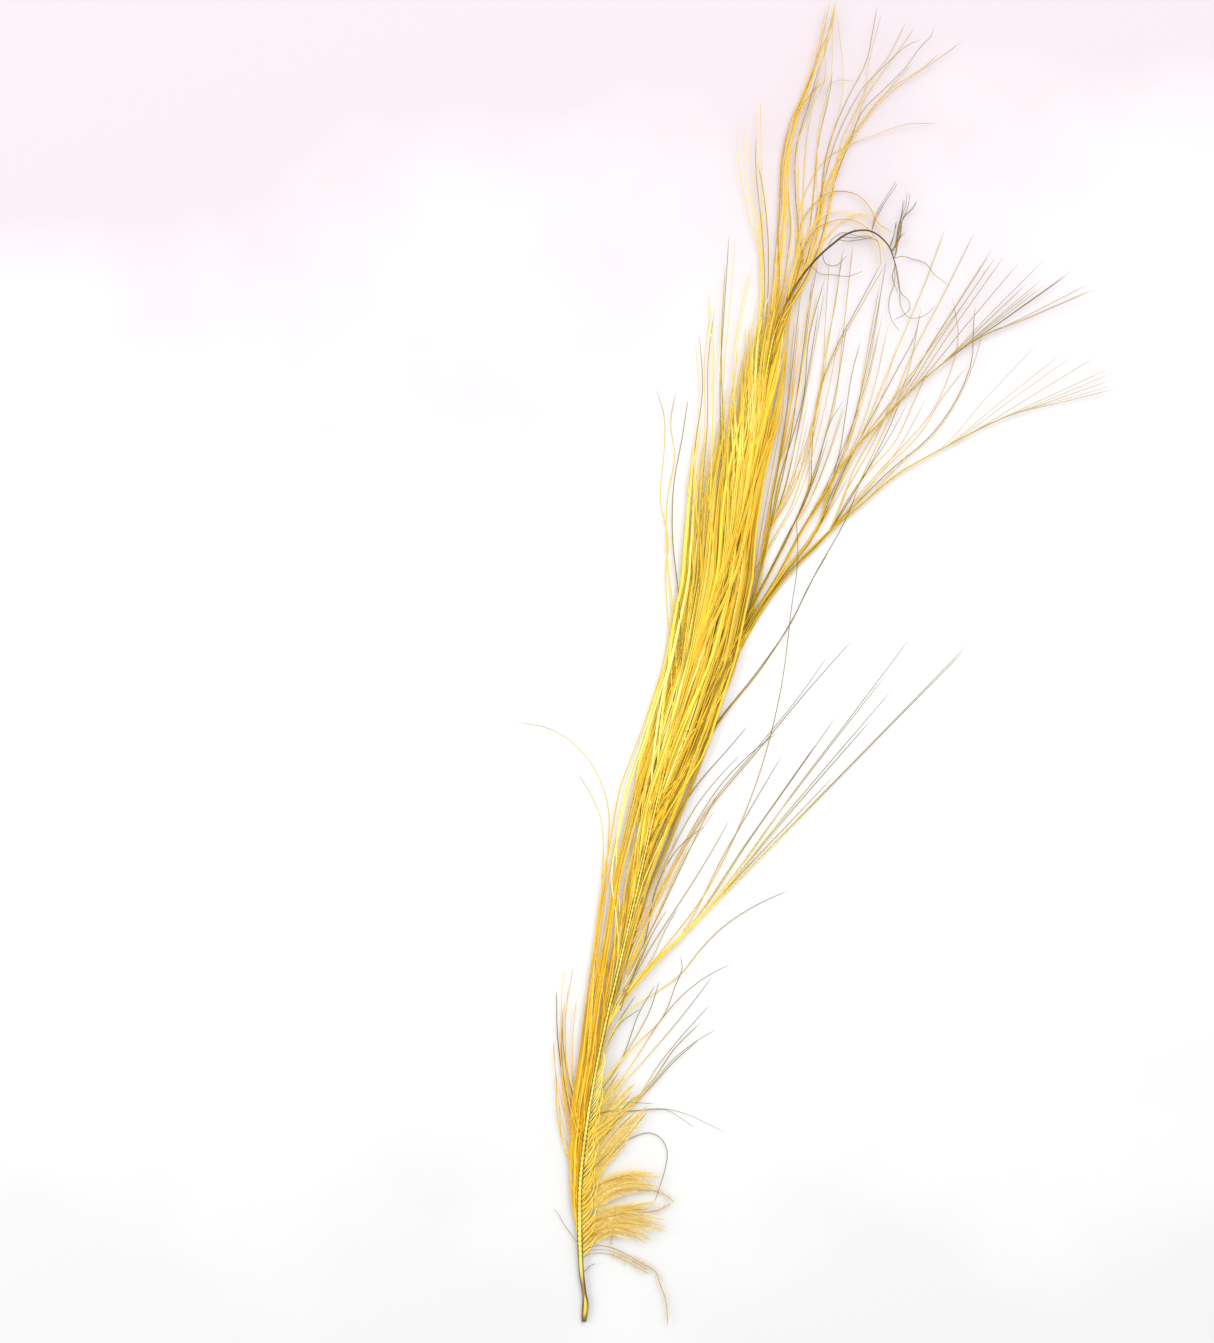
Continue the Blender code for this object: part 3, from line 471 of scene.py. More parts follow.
def smooth_route(points, count):
    """Return count evenly spaced points of one smooth curve through the given points."""
    points = np.asarray(points, float)
    gaps = np.linalg.norm(np.diff(points[:, :2], axis=0), axis=1)
    knots = travelled_along(points[:, :2])
    slopes = np.gradient(points, knots, axis=0)
    fine = np.linspace(0.0, knots[-1], 24 * len(points))
    index = np.clip(np.searchsorted(knots, fine, side="right") - 1, 0, len(knots) - 2)
    width = gaps[index][:, None]
    share = ((fine - knots[index]) / gaps[index])[:, None]
    start, end = points[index], points[index + 1]
    places = (
        start * (1.0 + 2.0 * share) * (1.0 - share) ** 2
        + end * share**2 * (3.0 - 2.0 * share)
        + width * slopes[index] * share * (1.0 - share) ** 2
        - width * slopes[index + 1] * share**2 * (1.0 - share)
    )
    travelled = travelled_along(places[:, :2])
    return read_at(np.linspace(0.0, travelled[-1], count), travelled, places)


SHAFT_LINE = smooth_route(SHAFT_ROUTE, SHAFT_STEPS)
SHAFT_RISING = SHAFT_LINE[: int(np.argmax(SHAFT_LINE[:, 1])) + 1]
PLUME_TABLE = np.array(PLUME_ROWS)


def shaft_at(y):
    """Return x and height of the shaft's middle at y, below its bend."""
    return [np.interp(y, SHAFT_RISING[:, 1], SHAFT_RISING[:, column]) for column in (0, 2)]


def plume_row(y):
    """Return left edge, right edge, lowest and highest barb of the dense plume at y."""
    return [np.interp(y, PLUME_TABLE[:, 0], PLUME_TABLE[:, column]) for column in range(1, 5)]


def plume_height(x, y, layer):
    """Return the height of a layer of the dense plume, from 0 at its underside to 1 on top."""
    left, right, low, high = plume_row(y)
    share = (x - left) / (right - left)
    crown = np.sqrt(np.clip(1.0 - (2.0 * share - 1.0) ** 2, 0.0, 1.0))
    middle = (low + high) / 2.0
    return middle + (low - middle + (high - low) * layer) * crown


@dataclass
class Growth:
    """Barbules of one kind: how far apart, how long and wide, at which angle, and their tone.

    They grow from the start to the stop share of their barb, and get shorter over the fade before the stop.
    """

    spacing: float
    length: float
    width: float
    degrees: float
    tone: float
    start: float = 0.03
    stop: float = 0.9
    lift: float = 0.12
    sweep: float = 0.0
    tone_spread: float = 0.3
    fade: float = 0.3


class StrandMesh:
    """Strands and their barbules, gathered as arrays and written as one mesh.

    Every point carries how far along its strand it lies, how far across, and the tone of its dye. Each strand
    has a band of its own in the map, with its barbules beside it.
    """

    def __init__(self, name, seed):
        self.name = name
        self.random = np.random.default_rng(seed)
        self.places = []
        self.values = []
        self.faces = []
        self.maps = []
        self.surfaces = []
        self.point_count = 0
        self.band_count = 0

    def add(self, places, values, faces, corners, surface):
        """Add points with their values, and faces with their corners in the map and their finish's number."""
        self.places.append(places)
        self.values.append(values)
        self.faces.append(faces + self.point_count)
        self.maps.append(corners)
        self.surfaces.append(np.full(len(faces), surface))
        self.point_count += len(places)

    def add_tube(self, line, half_widths, half_heights, tones, profile, tangent=None, along=None):
        """Add a closed strand along a line, with the tones of its ridge and its web.

        Each corner of the profile is a share of the half width across, and of the half height up.
        """
        count, sides = len(line), len(profile)
        if tangent is None:
            tangent = unit_length(np.gradient(line, axis=0))
        if along is None:
            along = np.linspace(0.0, 1.0, count)
        sideways = unit_length(np.cross(tangent, LEVEL))
        upward = np.cross(sideways, tangent)
        across, rise = np.array(profile).T
        ring = (
            line[:, None]
            + sideways[:, None] * (across[None, :] * half_widths[:, None])[..., None]
            + upward[:, None] * (rise[None, :] * half_heights[:, None])[..., None]
        )
        values = np.empty((count, sides, 4))
        values[..., 0] = along[:, None]
        values[..., 1] = across[None, :]
        values[..., 2:] = tones
        step, side = np.meshgrid(np.arange(count - 1), np.arange(sides), indexing="ij")
        here, after = step * sides + side, step * sides + (side + 1) % sides
        faces = np.stack([here, after, after + sides, here + sides], axis=-1).reshape(-1, 4)
        # Upper faces get a wider share of the strand's band in the map than those underneath
        shares = np.where(rise + np.roll(rise, -1) > 0.0, 4.0, 1.0)
        edges = np.concatenate(([0.0], np.cumsum(shares))) / shares.sum()
        near, far = step / (count - 1), (step + 1) / (count - 1)
        low, high = (self.band_count + STRAND_BAND * edges[number] for number in (side, side + 1))
        corners = np.stack([near, low, near, high, far, high, far, low], axis=-1).reshape(-1, 4, 2)
        self.add(ring.reshape(-1, 3), values.reshape(-1, 4), faces, corners, 0)
        self.close_ends(count, sides)

    def close_ends(self, count, sides):
        """Close both ends of the strand that was added last."""
        first = np.array([(0, corner + 2, corner + 1, corner) for corner in range(1, sides - 2, 2)])
        last = first[:, ::-1] + (count - 1) * sides
        faces = np.concatenate([first, last]) - count * sides
        strip = np.array([(0.0, 0.0), (END_STRIP, 0.0), (END_STRIP, 0.5), (0.0, 0.5)])
        strip = strip + (0.0, self.band_count)
        corners = np.concatenate([[strip] * len(first), [strip + (1.0 - END_STRIP, 0.0)] * len(last)])
        self.add(np.empty((0, 3)), np.empty((0, 4)), faces, corners, 0)

    def add_barbules(self, line, growth):
        """Add thin, pointed barbules on both sides of a line."""
        travelled = travelled_along(line)
        tangent = unit_length(np.gradient(line, axis=0))
        span = growth.stop - growth.start
        count = int(travelled[-1] * span / growth.spacing)
        if count < 1:
            return
        for side, band_start in BARBULE_STARTS:
            share = growth.start + span * (np.arange(count) + self.random.random(count)) / count
            root = read_at(share * travelled[-1], travelled, line)
            forward = unit_length(read_at(share * travelled[-1], travelled, tangent))
            sideways = unit_length(np.cross(forward, LEVEL)) * side
            angle = math.radians(growth.degrees) * (0.75 + 0.5 * self.random.random(count))
            lift = growth.lift * (self.random.random(count) * 2.0 - 0.8)
            reach = growth.length * (0.55 + 0.45 * self.random.random(count))
            reach = reach * np.clip((growth.stop - share) / growth.fade, 0.2, 1.0)
            direction = forward * np.cos(angle)[:, None] + sideways * np.sin(angle)[:, None]
            direction[:, 2] += lift
            blade = unit_length(np.cross(direction, LEVEL)) * (growth.width / 2.0)
            blade[:, 2] += growth.width * (self.random.random(count) - 0.5)
            middle = root + direction * (reach * 0.45)[:, None]
            tip = middle + direction * (reach * 0.55)[:, None] + forward * (growth.sweep * reach)[:, None]
            places = np.stack([root, middle + blade, tip, middle - blade], axis=1)
            places[..., 2] = np.maximum(places[..., 2], LOWEST_BARBULE)
            tone = growth.tone + growth.tone_spread * (self.random.random(count) - 0.5)
            values = np.empty((count, 4, 4))
            values[..., 0] = share[:, None]
            values[..., 1] = (0.0, 0.5, 1.0, 0.5)
            values[..., 2:] = tone[:, None, None]
            faces = np.arange(count * 4).reshape(-1, 4)
            corners = np.empty((count, 4, 2))
            corners[..., 0] = share[:, None] + np.array((0.0, 0.45, 0.0, -0.45)) * span / count
            corners[..., 1] = self.band_count + band_start + np.array((0.0, 0.5, 1.0, 0.5)) * BARBULE_BAND
            self.add(places.reshape(-1, 3), values.reshape(-1, 4), faces, corners, 1)

    def add_barb(self, line, half_width, tone, growth=None, web=0.0, web_tone=0.0, web_from=0.05,
                 web_to=0.75):
        """Add one barb that tapers from root to tip, with a flat web along its middle part where asked."""
        share = np.linspace(0.0, 1.0, len(line))
        core = half_width * (0.5 + 0.5 * (1.0 - share) ** 0.6)
        core[-1] = half_width * 0.08
        line = line.copy()
        line[:, 2] = np.maximum(line[:, 2], core * 0.75 + 0.02)
        if web:
            grown = ease((share - web_from) / 0.25) * (1.0 - ease((share - web_to + 0.3) / 0.3))
            ragged = 0.8 + 0.4 * self.random.random(len(line))
            self.add_tube(line, core + web * grown * ragged, core * 0.75, (tone, web_tone), WEBBED)
        else:
            self.add_tube(line, core, core * 0.75, (tone, tone), PLAIN)
        if growth:
            self.add_barbules(line, growth)
        self.band_count += 1

    def write(self, finishes):
        """Write the mesh as a piece that rides on the plume's body and stands for its plain solid."""
        places = np.concatenate(self.places) * UNIT
        values = np.concatenate(self.values)
        faces = np.concatenate(self.faces)
        corners = np.concatenate(self.maps).reshape(-1, 2)
        corners[:, 1] /= self.band_count
        mesh = bpy.data.meshes.new(self.name)
        mesh.vertices.add(len(places))
        mesh.vertices.foreach_set("co", places.ravel())
        mesh.loops.add(faces.size)
        mesh.loops.foreach_set("vertex_index", faces.ravel())
        mesh.polygons.add(len(faces))
        mesh.polygons.foreach_set("loop_start", np.arange(len(faces)) * 4)
        mesh.polygons.foreach_set("material_index", np.concatenate(self.surfaces))
        mesh.polygons.foreach_set("use_smooth", np.ones(len(faces), bool))
        for column, name in enumerate(("along", "across", "tone", "web_tone")):
            attribute = mesh.attributes.new(name, "FLOAT", "POINT")
            attribute.data.foreach_set("value", values[:, column])
        mesh.uv_layers.new(name="OFBake").data.foreach_set("uv", corners.ravel())
        for finish in finishes:
            mesh.materials.append(finish_named(finish))
        mesh.update(calc_edges=True)
        mesh.validate()
        piece = bpy.data.objects.new(self.name, mesh)
        bpy.context.scene.collection.objects.link(piece)
        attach(piece, BODY)
        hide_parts(SOLID)


def laid_line(route, steps, random, lift, wave, layer=0.6, root_height=None):
    """Return a barb's line: from its root through the plume, then near the surface, with its tip raised."""
    flat = smooth_route(route, steps)
    share = np.linspace(0.0, 1.0, steps)
    if root_height is None:
        root_height = float(shaft_at(flat[0, 1])[1])
    lying = LYING_HEIGHT + 0.5 * random.random()
    height = lying + (root_height - lying) * (1.0 - ease(share / SETTLES_BY)) + lift * share**2.4
    left, right, _, _ = plume_row(flat[:, 1])
    inside = ease((flat[:, 0] - left) / 1.5) * ease((right + 1.5 - flat[:, 0]) / 3.0)
    within = (flat[:, 1] > PLUME_ROWS[0][0]) & (flat[:, 1] < PLUME_TOP)
    weight = inside * within * ease(share / 0.12)
    height = height + (plume_height(flat[:, 0], flat[:, 1], layer) - height) * weight
    phase = random.random(2) * 2.0 * math.pi
    height = height + wave * np.sin(share * 5.0 + phase[0]) * share
    bow = wave * np.sin(share * 4.0 + phase[1]) * share * (1.0 - share) * 2.0
    ahead = unit_length(np.gradient(flat, axis=0))
    x, y = flat[:, 0] - ahead[:, 1] * bow, flat[:, 1] + ahead[:, 0] * bow
    return np.stack([x, y, np.maximum(height, LOWEST_STRAND)], axis=1)


def from_shaft(visible, random):
    """Return a route that starts on the shaft, a hidden length below the first point that shows."""
    first_x, first_y = visible[0]
    root_y = first_y - HIDDEN_LENGTH * (0.6 + 0.9 * random.random())
    root_x = float(shaft_at(root_y)[0])
    turn_y = root_y + 0.4 * (first_y - root_y)
    turn_x = root_x + 0.44 * (first_x - root_x)
    return [(root_x, root_y), (turn_x, turn_y), *visible]


def leave_stem(stem, leave_x, tip):
    """Return the route of a fan's barb, which follows the stem and leaves it for its own tip."""
    followed = [point for point in stem if point[0] < leave_x - 1.5]
    xs, ys = zip(*stem)
    leave = (leave_x, float(np.interp(leave_x, xs, ys)))
    straight = (leave[0] + (tip[0] - leave[0]) * 0.5, leave[1] + (tip[1] - leave[1]) * 0.5)
    return [*followed, leave, straight, tip]


def on_track(route, aside=0.0):
    """Return the route with its start on the track that leads to it, or to a place aside of it."""
    free = [tuple(point) for point in route if point[1] > TRACK_END + 7.0]
    start_x = free[0][0] - 0.5 * (free[0][1] - TRACK_END) + aside
    track = min(TRACKS, key=lambda points: abs(points[-1][0] - start_x))
    return [*track, *free]


def stray(random, reach):
    """Return a random move aside of at most the reach in x and in y."""
    return (random.random(2) * 2.0 - 1.0) * reach


def between(random, low, high):
    """Return a random value between two."""
    return low + (high - low) * random.random()


def pick_tone(random, tones):
    """Return one barb's tone, near the bright or the dark one of the two given."""
    bright, dark = tones
    if random.random() < DARK_SHARE:
        return dark - 0.12 * random.random()
    return bright + 0.35 * (dark - bright) * random.random()


def strayed(route, early, late, rooted=True):
    """Return the route moved aside early on and at its tip; a rooted one keeps its start."""
    share = np.linspace(0.0, 1.0, len(route))[:, None]
    weight = (1.0 - share) ** 2
    if rooted:
        weight = weight * np.minimum(share * 5.0, 1.0)
    return np.array(route) + early * weight + late * share


def between_guides(guides, share, steps):
    """Return the route between the guides, from the first at share 0 to the last at share 1."""
    lines = [smooth_route(guide, steps) for guide in guides]
    place = share * (len(lines) - 1)
    low = min(int(place), len(lines) - 2)
    part = place - low
    return lines[low] * (1.0 - part) + lines[low + 1] * part


class Socket:
    """A shader value on which sums are written as Python sums."""

    def __init__(self, shader, link):
        self.shader = shader
        self.link = link

    def math(self, operation, *values):
        return self.shader.add("ShaderNodeMath", {"operation": operation}, dict(enumerate(values)))

    def __add__(self, other):
        return self.math("ADD", self, other)

    def __sub__(self, other):
        return self.math("SUBTRACT", self, other)

    def __mul__(self, other):
        return self.math("MULTIPLY", self, other)

    def __truediv__(self, other):
        return self.math("DIVIDE", self, other)

    def __pow__(self, other):
        return self.math("POWER", self, other)

    def __rsub__(self, other):
        return self.math("SUBTRACT", other, self)

    __radd__ = __add__
    __rmul__ = __mul__

    def size(self):
        """Return the value without its sign."""
        return self.math("ABSOLUTE", self)

    def held(self):
        """Return the value kept between 0 and 1."""
        return self.shader.add("ShaderNodeClamp", {}, {"Value": self})


class Shader:
    """A material's nodes, added by type with their settings and inputs."""

    def __init__(self, name, roughness, **constants):
        self.material = bpy.data.materials.new(name)
        self.material.use_nodes = True
        self.nodes = self.material.node_tree.nodes
        self.links = self.material.node_tree.links
        self.surface = self.nodes["Principled BSDF"]
        self.surface.inputs["Roughness"].default_value = roughness
        for label, value in constants.items():
            self.surface.inputs[label.replace("_", " ")].default_value = value

    def add(self, kind, settings, inputs, output=0):
        """Add a node, set it, connect or fill its inputs, and return one of its outputs."""
        node = self.nodes.new(kind)
        for label, value in settings.items():
            if label == "stops":
                self.set_stops(node.color_ramp, value)
            else:
                setattr(node, label, value)
        for label, value in inputs.items():
            self.feed(node.inputs[label], value)
        return Socket(self, node.outputs[output])

    def feed(self, target, value):
        """Link a socket, or set a plain value."""
        if isinstance(value, Socket):
            self.links.new(value.link, target)
        else:
            target.default_value = value

    def set_stops(self, ramp, stops):
        """Give a ramp its stops."""
        while len(ramp.elements) < len(stops):
            ramp.elements.new(1.0)
        for element, (position, colour) in zip(ramp.elements, stops):
            element.position = position
            element.color = colour

    def attribute(self, name):
        return self.add("ShaderNodeAttribute", {"attribute_name": name}, {}, output="Fac")

    def ramp(self, value, stops):
        return self.add("ShaderNodeValToRGB", {"stops": stops}, {"Fac": value})

    def mix(self, share, first, second):
        """Mix two colours."""
        settings = {"data_type": "RGBA", "clamp_factor": True}
        return self.add("ShaderNodeMix", settings, {0: share, 6: first, 7: second}, output=2)

    def noise(self, scale, detail, stretch=None):
        """Return noise over the object's own coordinates, stretched along the axes where asked."""
        place = self.add("ShaderNodeTexCoord", {}, {}, output="Object")
        if stretch:
            place = self.add("ShaderNodeVectorMath", {"operation": "MULTIPLY"}, {0: place, 1: stretch})
        return self.add("ShaderNodeTexNoise", {}, {"Vector": place, "Scale": scale, "Detail": detail})

    def grain(self, tone, along, across):
        """Return noise that runs lengthwise along each strand, and differs from strand to strand."""
        inputs = {"X": along * 26.0, "Y": across * 1.4, "Z": tone * 90.0}
        place = self.add("ShaderNodeCombineXYZ", {}, inputs)
        return self.add("ShaderNodeTexNoise", {}, {"Vector": place, "Scale": 1.0, "Detail": 3.0})

    def bump(self, height, strength, distance):
        """Raise the surface by a height, for the Normal input."""
        inputs = {"Height": height, "Strength": strength, "Distance": distance}
        self.feed(self.surface.inputs["Normal"], self.add("ShaderNodeBump", {}, inputs))

    def colour(self, value):
        self.feed(self.surface.inputs["Base Color"], value)

    def roughness(self, value):
        self.feed(self.surface.inputs["Roughness"], value)


def make_barb_finish(name, tip_from, tip_full, webbed, deep):
    """Dyed barbs: yellow to olive brown by their tone, drying towards their tips.

    A web has a tone of its own, and its barb dries to brown; plain barbs dry to grey olive. A higher deep
    makes the dye deeper from the root outwards, as on barbs that lie alone.
    """
    colours = bpy.context.scene.plume_colours
    shader = Shader(name, 0.45, Specular_IOR_Level=0.22)
    tone, along, across = (shader.attribute(value) for value in ("tone", "along", "across"))
    patches = shader.noise(38.0, 2.0)
    streaks = shader.grain(tone, along, across)
    depth = tone
    tip = colours.dried_tip
    if webbed:
        web = ((across.size() - 0.28) * 12.0).held()
        depth = tone + web * (shader.attribute("web_tone") - tone)
        tip = colours.brown
    dye = shader.ramp((depth + (patches - 0.5) * 0.24).held(), [
        (0.0, colours.lemon),
        (0.25, colours.yellow),
        (0.48, colours.golden),
        (0.66, colours.orange),
        (0.84, colours.brown),
        (1.0, colours.olive),
    ])
    # Painted shade: the sides of each barb, away from its top ridge, are mixed towards orange, so its top
    # reads lighter
    dye = shader.mix((across.size() ** 4.0) * 0.2, dye, colours.orange)
    dye = shader.mix(((streaks - 0.5) * 0.8).held(), dye, colours.lemon)
    if deep:
        dye = shader.mix(((along - 0.3) * 3.0).held() * deep, dye, colours.deep_dye)
    dried = ((along + (patches - 0.5) * 0.3 - tip_from) / (tip_full - tip_from)).held()
    shader.colour(shader.mix(dried, dye, tip))
    shader.roughness(0.38 + streaks * 0.2)
    shader.bump(streaks, 0.25, 0.00003)
    return shader.material


def make_barbule_finish(name):
    """Fine barbules: lemon to peach by their tone, paler towards their own tips."""
    colours = bpy.context.scene.plume_colours
    shader = Shader(name, 0.55, Specular_IOR_Level=0.3, Sheen_Weight=0.3)
    tone, across = shader.attribute("tone"), shader.attribute("across")
    patches = shader.noise(45.0, 2.0)
    dye = shader.ramp((tone + (patches - 0.5) * 0.3).held(), [
        (0.0, colours.lemon),
        (0.35, colours.yellow),
        (0.65, colours.golden),
        (0.85, colours.orange),
        (1.0, colours.peach),
    ])
    shader.colour(shader.mix(across * 0.35, dye, colours.lemon))
    return shader.material


def make_down_finish(name):
    """Down barbules: golden, paler towards their ends."""
    colours = bpy.context.scene.plume_colours
    shader = Shader(name, 0.6, Specular_IOR_Level=0.2, Sheen_Weight=0.1)
    tone, across = shader.attribute("tone"), shader.attribute("across")
    dye = shader.ramp(tone.held(), [
        (0.0, colours.lemon),
        (0.3, colours.peach),
        (0.6, colours.down),
        (1.0, colours.brown),
    ])
    shader.colour(shader.mix(across * 0.5, dye, colours.lemon))
    return shader.material


def make_shaft_finish(name):
    """Quill and shaft: yellow between edges darkened by painted shade, with an olive cut end, a brown stretch
    and a dark tip.
    """
    colours = bpy.context.scene.plume_colours
    shader = Shader(name, 0.32, Specular_IOR_Level=0.4, Coat_Weight=0.15)
    along, across = shader.attribute("along"), shader.attribute("across")
    grain = shader.noise(700.0, 3.0, (1.0, 0.12, 1.0))
    blotches = shader.noise(160.0, 2.0)
    dye = shader.ramp(along, [
        (0.0, colours.cut_end),
        (0.003, colours.quill_olive),
        (0.006, colours.quill_yellow),
        (0.018, colours.quill_yellow),
        (0.024, colours.quill_brown),
        (0.034, colours.quill_brown),
        (0.044, colours.quill_yellow),
        (0.30, colours.quill_yellow),
        (0.62, colours.golden),
        (0.82, colours.golden),
        (0.865, colours.quill_brown),
        (0.90, colours.dark_tip),
        (1.0, colours.dark_tip),
    ])
    bare = ((0.07 - along) * 40.0).held()
    # The barbs' roots notch the painted shade along the shaft's edges, about one a millimetre
    notches = along.math("SINE", along * 1500.0) * (1.0 - bare) * 0.14
    # Painted shade: the sides of the quill and shaft are darkened towards olive, in a wider band on the bare
    # quill
    edge = ((across.size() - 0.42 + notches + bare * 0.1) * (3.0 + bare * 2.0)).held()
    dye = shader.mix(edge * 0.95, dye, colours.quill_olive)
    live = ((0.86 - along) * 25.0).held()
    dye = shader.mix(((blotches - 0.5) * 0.9).held() * live, dye, colours.quill_brown)
    shader.colour(shader.mix(((grain - 0.52) * 1.2).held() * live, dye, colours.lemon))
    shader.roughness(0.26 + grain * 0.2)
    shader.bump(grain, 0.3, 0.00004)
    return shader.material


def make_floor_finish():
    """Matt white paper: faintly pink towards the top and left, faintly grey and uneven towards the bottom."""
    stage = bpy.context.scene.plume_stage
    shader = Shader("pale_paper", 0.85, Specular_IOR_Level=0.2)
    place = shader.add("ShaderNodeTexCoord", {}, {}, output="Object")
    right, up = (shader.add("ShaderNodeSeparateXYZ", {}, {"Vector": place}, output=axis) for axis in "XY")
    cloud = shader.noise(14.0, 3.0)
    fibre = shader.noise(900.0, 2.0)
    pink = ((up - right * 0.1 - 0.022) * 9.5 + (cloud - 0.5) * 1.6).held()
    grey = ((-0.03 - up) * 9.0 + (cloud - 0.5) * 1.6).held()
    paper = shader.mix(pink, stage.floor_colour, stage.floor_tint)
    shader.colour(shader.mix(grey, paper, stage.floor_grey))
    shader.bump(fibre, 0.05, 0.00005)
    return shader.material


OTHER_FINISHES = {
    "dyed_barbule": make_barbule_finish,
    "down_barbule": make_down_finish,
    "quill_and_shaft": make_shaft_finish,
}


def finish_named(name):
    """Return the material of this name, and make it when it is first asked for."""
    if name in bpy.data.materials:
        return bpy.data.materials[name]
    if name in BARB_FINISHES:
        return make_barb_finish(name, *BARB_FINISHES[name])
    return OTHER_FINISHES[name](name)


class PlumeSizes(bpy.types.PropertyGroup):
    """Sizes that all the barbs share."""

    barb_width: bpy.props.FloatProperty(
        name="Barb width", description="Width of a long barb at its root, in millimetres",
        default=0.25, min=0.1, max=1.0,
    )
    web_width: bpy.props.FloatProperty(
        name="Web width", description="Width of the web on each side of a long barb, in millimetres",
        default=0.21, min=0.05, max=1.0,
    )
    single_width: bpy.props.FloatProperty(
        name="Single barb width", description="Width of a barb that lies alone, in millimetres",
        default=0.31, min=0.1, max=1.0,
    )
    barbs_per_side: bpy.props.IntProperty(
        name="Barbs on each side", description="Barbs of the dense plume on each side of the shaft",
        default=108, min=10, max=400,
    )


def colour_property(label, description, *colour):
    """Return an opaque colour that the panel shows."""
    return bpy.props.FloatVectorProperty(
        name=label, description=description, subtype="COLOR", size=4, min=0.0, max=1.0, default=(*colour, 1.0)
    )


class PlumeColours(bpy.types.PropertyGroup):
    """Colours of the dye."""

    lemon: colour_property("Lemon", "Palest dye, on fine barbules and in streaks", 1.0, 0.93, 0.40)
    yellow: colour_property("Yellow", "Bright dye", 1.0, 0.80, 0.10)
    golden: colour_property("Golden", "Dye of most barbs", 0.97, 0.64, 0.04)
    # Orange is also the painted shade along the edges of barbs, besides the orange dye
    orange: colour_property("Orange", "Orange dye, also along the edges of barbs", 0.88, 0.47, 0.012)
    brown: colour_property("Brown", "Dark barbs, and the dried tips of webs", 0.44, 0.26, 0.010)
    olive: colour_property("Olive", "Darkest barbs", 0.24, 0.18, 0.008)
    deep_dye: colour_property("Deep dye", "What darkens the barbs that lie alone", 0.07, 0.055, 0.006)
    peach: colour_property("Pale down", "Pale gold of the down", 1.0, 0.80, 0.28)
    down: colour_property("Down", "Golden down", 0.86, 0.50, 0.05)
    dried_tip: colour_property("Dried tips", "Grey olive tips of the barbs", 0.17, 0.135, 0.045)
    cut_end: colour_property("Cut end", "Cut end of the quill", 0.08, 0.065, 0.015)
    # Quill olive is the olive near the cut end, and also the painted shade along the edges of the quill and
    # shaft
    quill_olive: colour_property("Quill olive", "Edges of the quill and shaft", 0.075, 0.04, 0.002)
    quill_yellow: colour_property("Quill yellow", "Body of the quill and shaft", 0.80, 0.62, 0.08)
    quill_brown: colour_property("Quill brown", "Brown stretch above the swelling", 0.26, 0.11, 0.006)
    dark_tip: colour_property("Dark tip", "Dried end of the shaft", 0.06, 0.03, 0.010)


class StageSettings(bpy.types.PropertyGroup):
    """Floor, light and camera."""

    floor_colour: colour_property("Floor", "Colour of the paper", 0.74, 0.74, 0.74)
    floor_tint: colour_property("Floor tint", "Faint pink of the paper's upper part", 0.60, 0.54, 0.571)
    floor_grey: colour_property("Floor grey", "Faint grey of the paper's lower part", 0.635, 0.635, 0.635)
    camera_height: bpy.props.FloatProperty(
        name="Camera height", description="Distance from the surface to the camera",
        default=0.75, min=0.2, unit="LENGTH",
    )
    light_power: bpy.props.FloatProperty(
        name="Main light", description="Power of the main soft light", default=11.4, min=0.0, unit="POWER",
    )
    sky_strength: bpy.props.FloatProperty(
        name="Sky", description="Strength of the even light from all around", default=0.78, min=0.0,
    )


class PLUME_OT_add_shaft(bpy.types.Operator):
    """Add the quill with its hollow cut end, and the shaft to its bent, dried tip"""

    bl_idname = "plume.add_shaft"
    bl_label = "Quill and shaft"

    def execute(self, context):
        # Two rings inside the cut end make its hollow
        order = [*range(QUILL_HOLLOW, -1, -QUILL_HOLLOW), *range(SHAFT_STEPS)]
        inner = len(order) - SHAFT_STEPS
        rings = SHAFT_LINE[order]
        rings[:inner, 3:] -= QUILL_WALL
        tangent = unit_length(np.gradient(SHAFT_LINE[:, :3], axis=0))[order]
        along = np.concatenate([np.zeros(inner), np.linspace(0.0, 1.0, SHAFT_STEPS)])
        mesh = StrandMesh("quill_and_shaft", 11)
        mesh.add_tube(rings[:, :3], rings[:, 3], rings[:, 4], (0.3, 0.3), self.profile(), tangent, along)
        mesh.band_count = 1
        mesh.write(["quill_and_shaft"])
        return {"FINISHED"}

    def profile(self):
        """Return an oval profile with a shallow groove along its underside."""
        corners = []
        for number in range(SHAFT_SIDES):
            angle = number * 2.0 * math.pi / SHAFT_SIDES
            across, rise = math.cos(angle), math.sin(angle)
            if rise < 0.0:
                rise += GROOVE_DEPTH * (1.0 - abs(across)) ** 2
            corners.append((across, rise))
        return corners


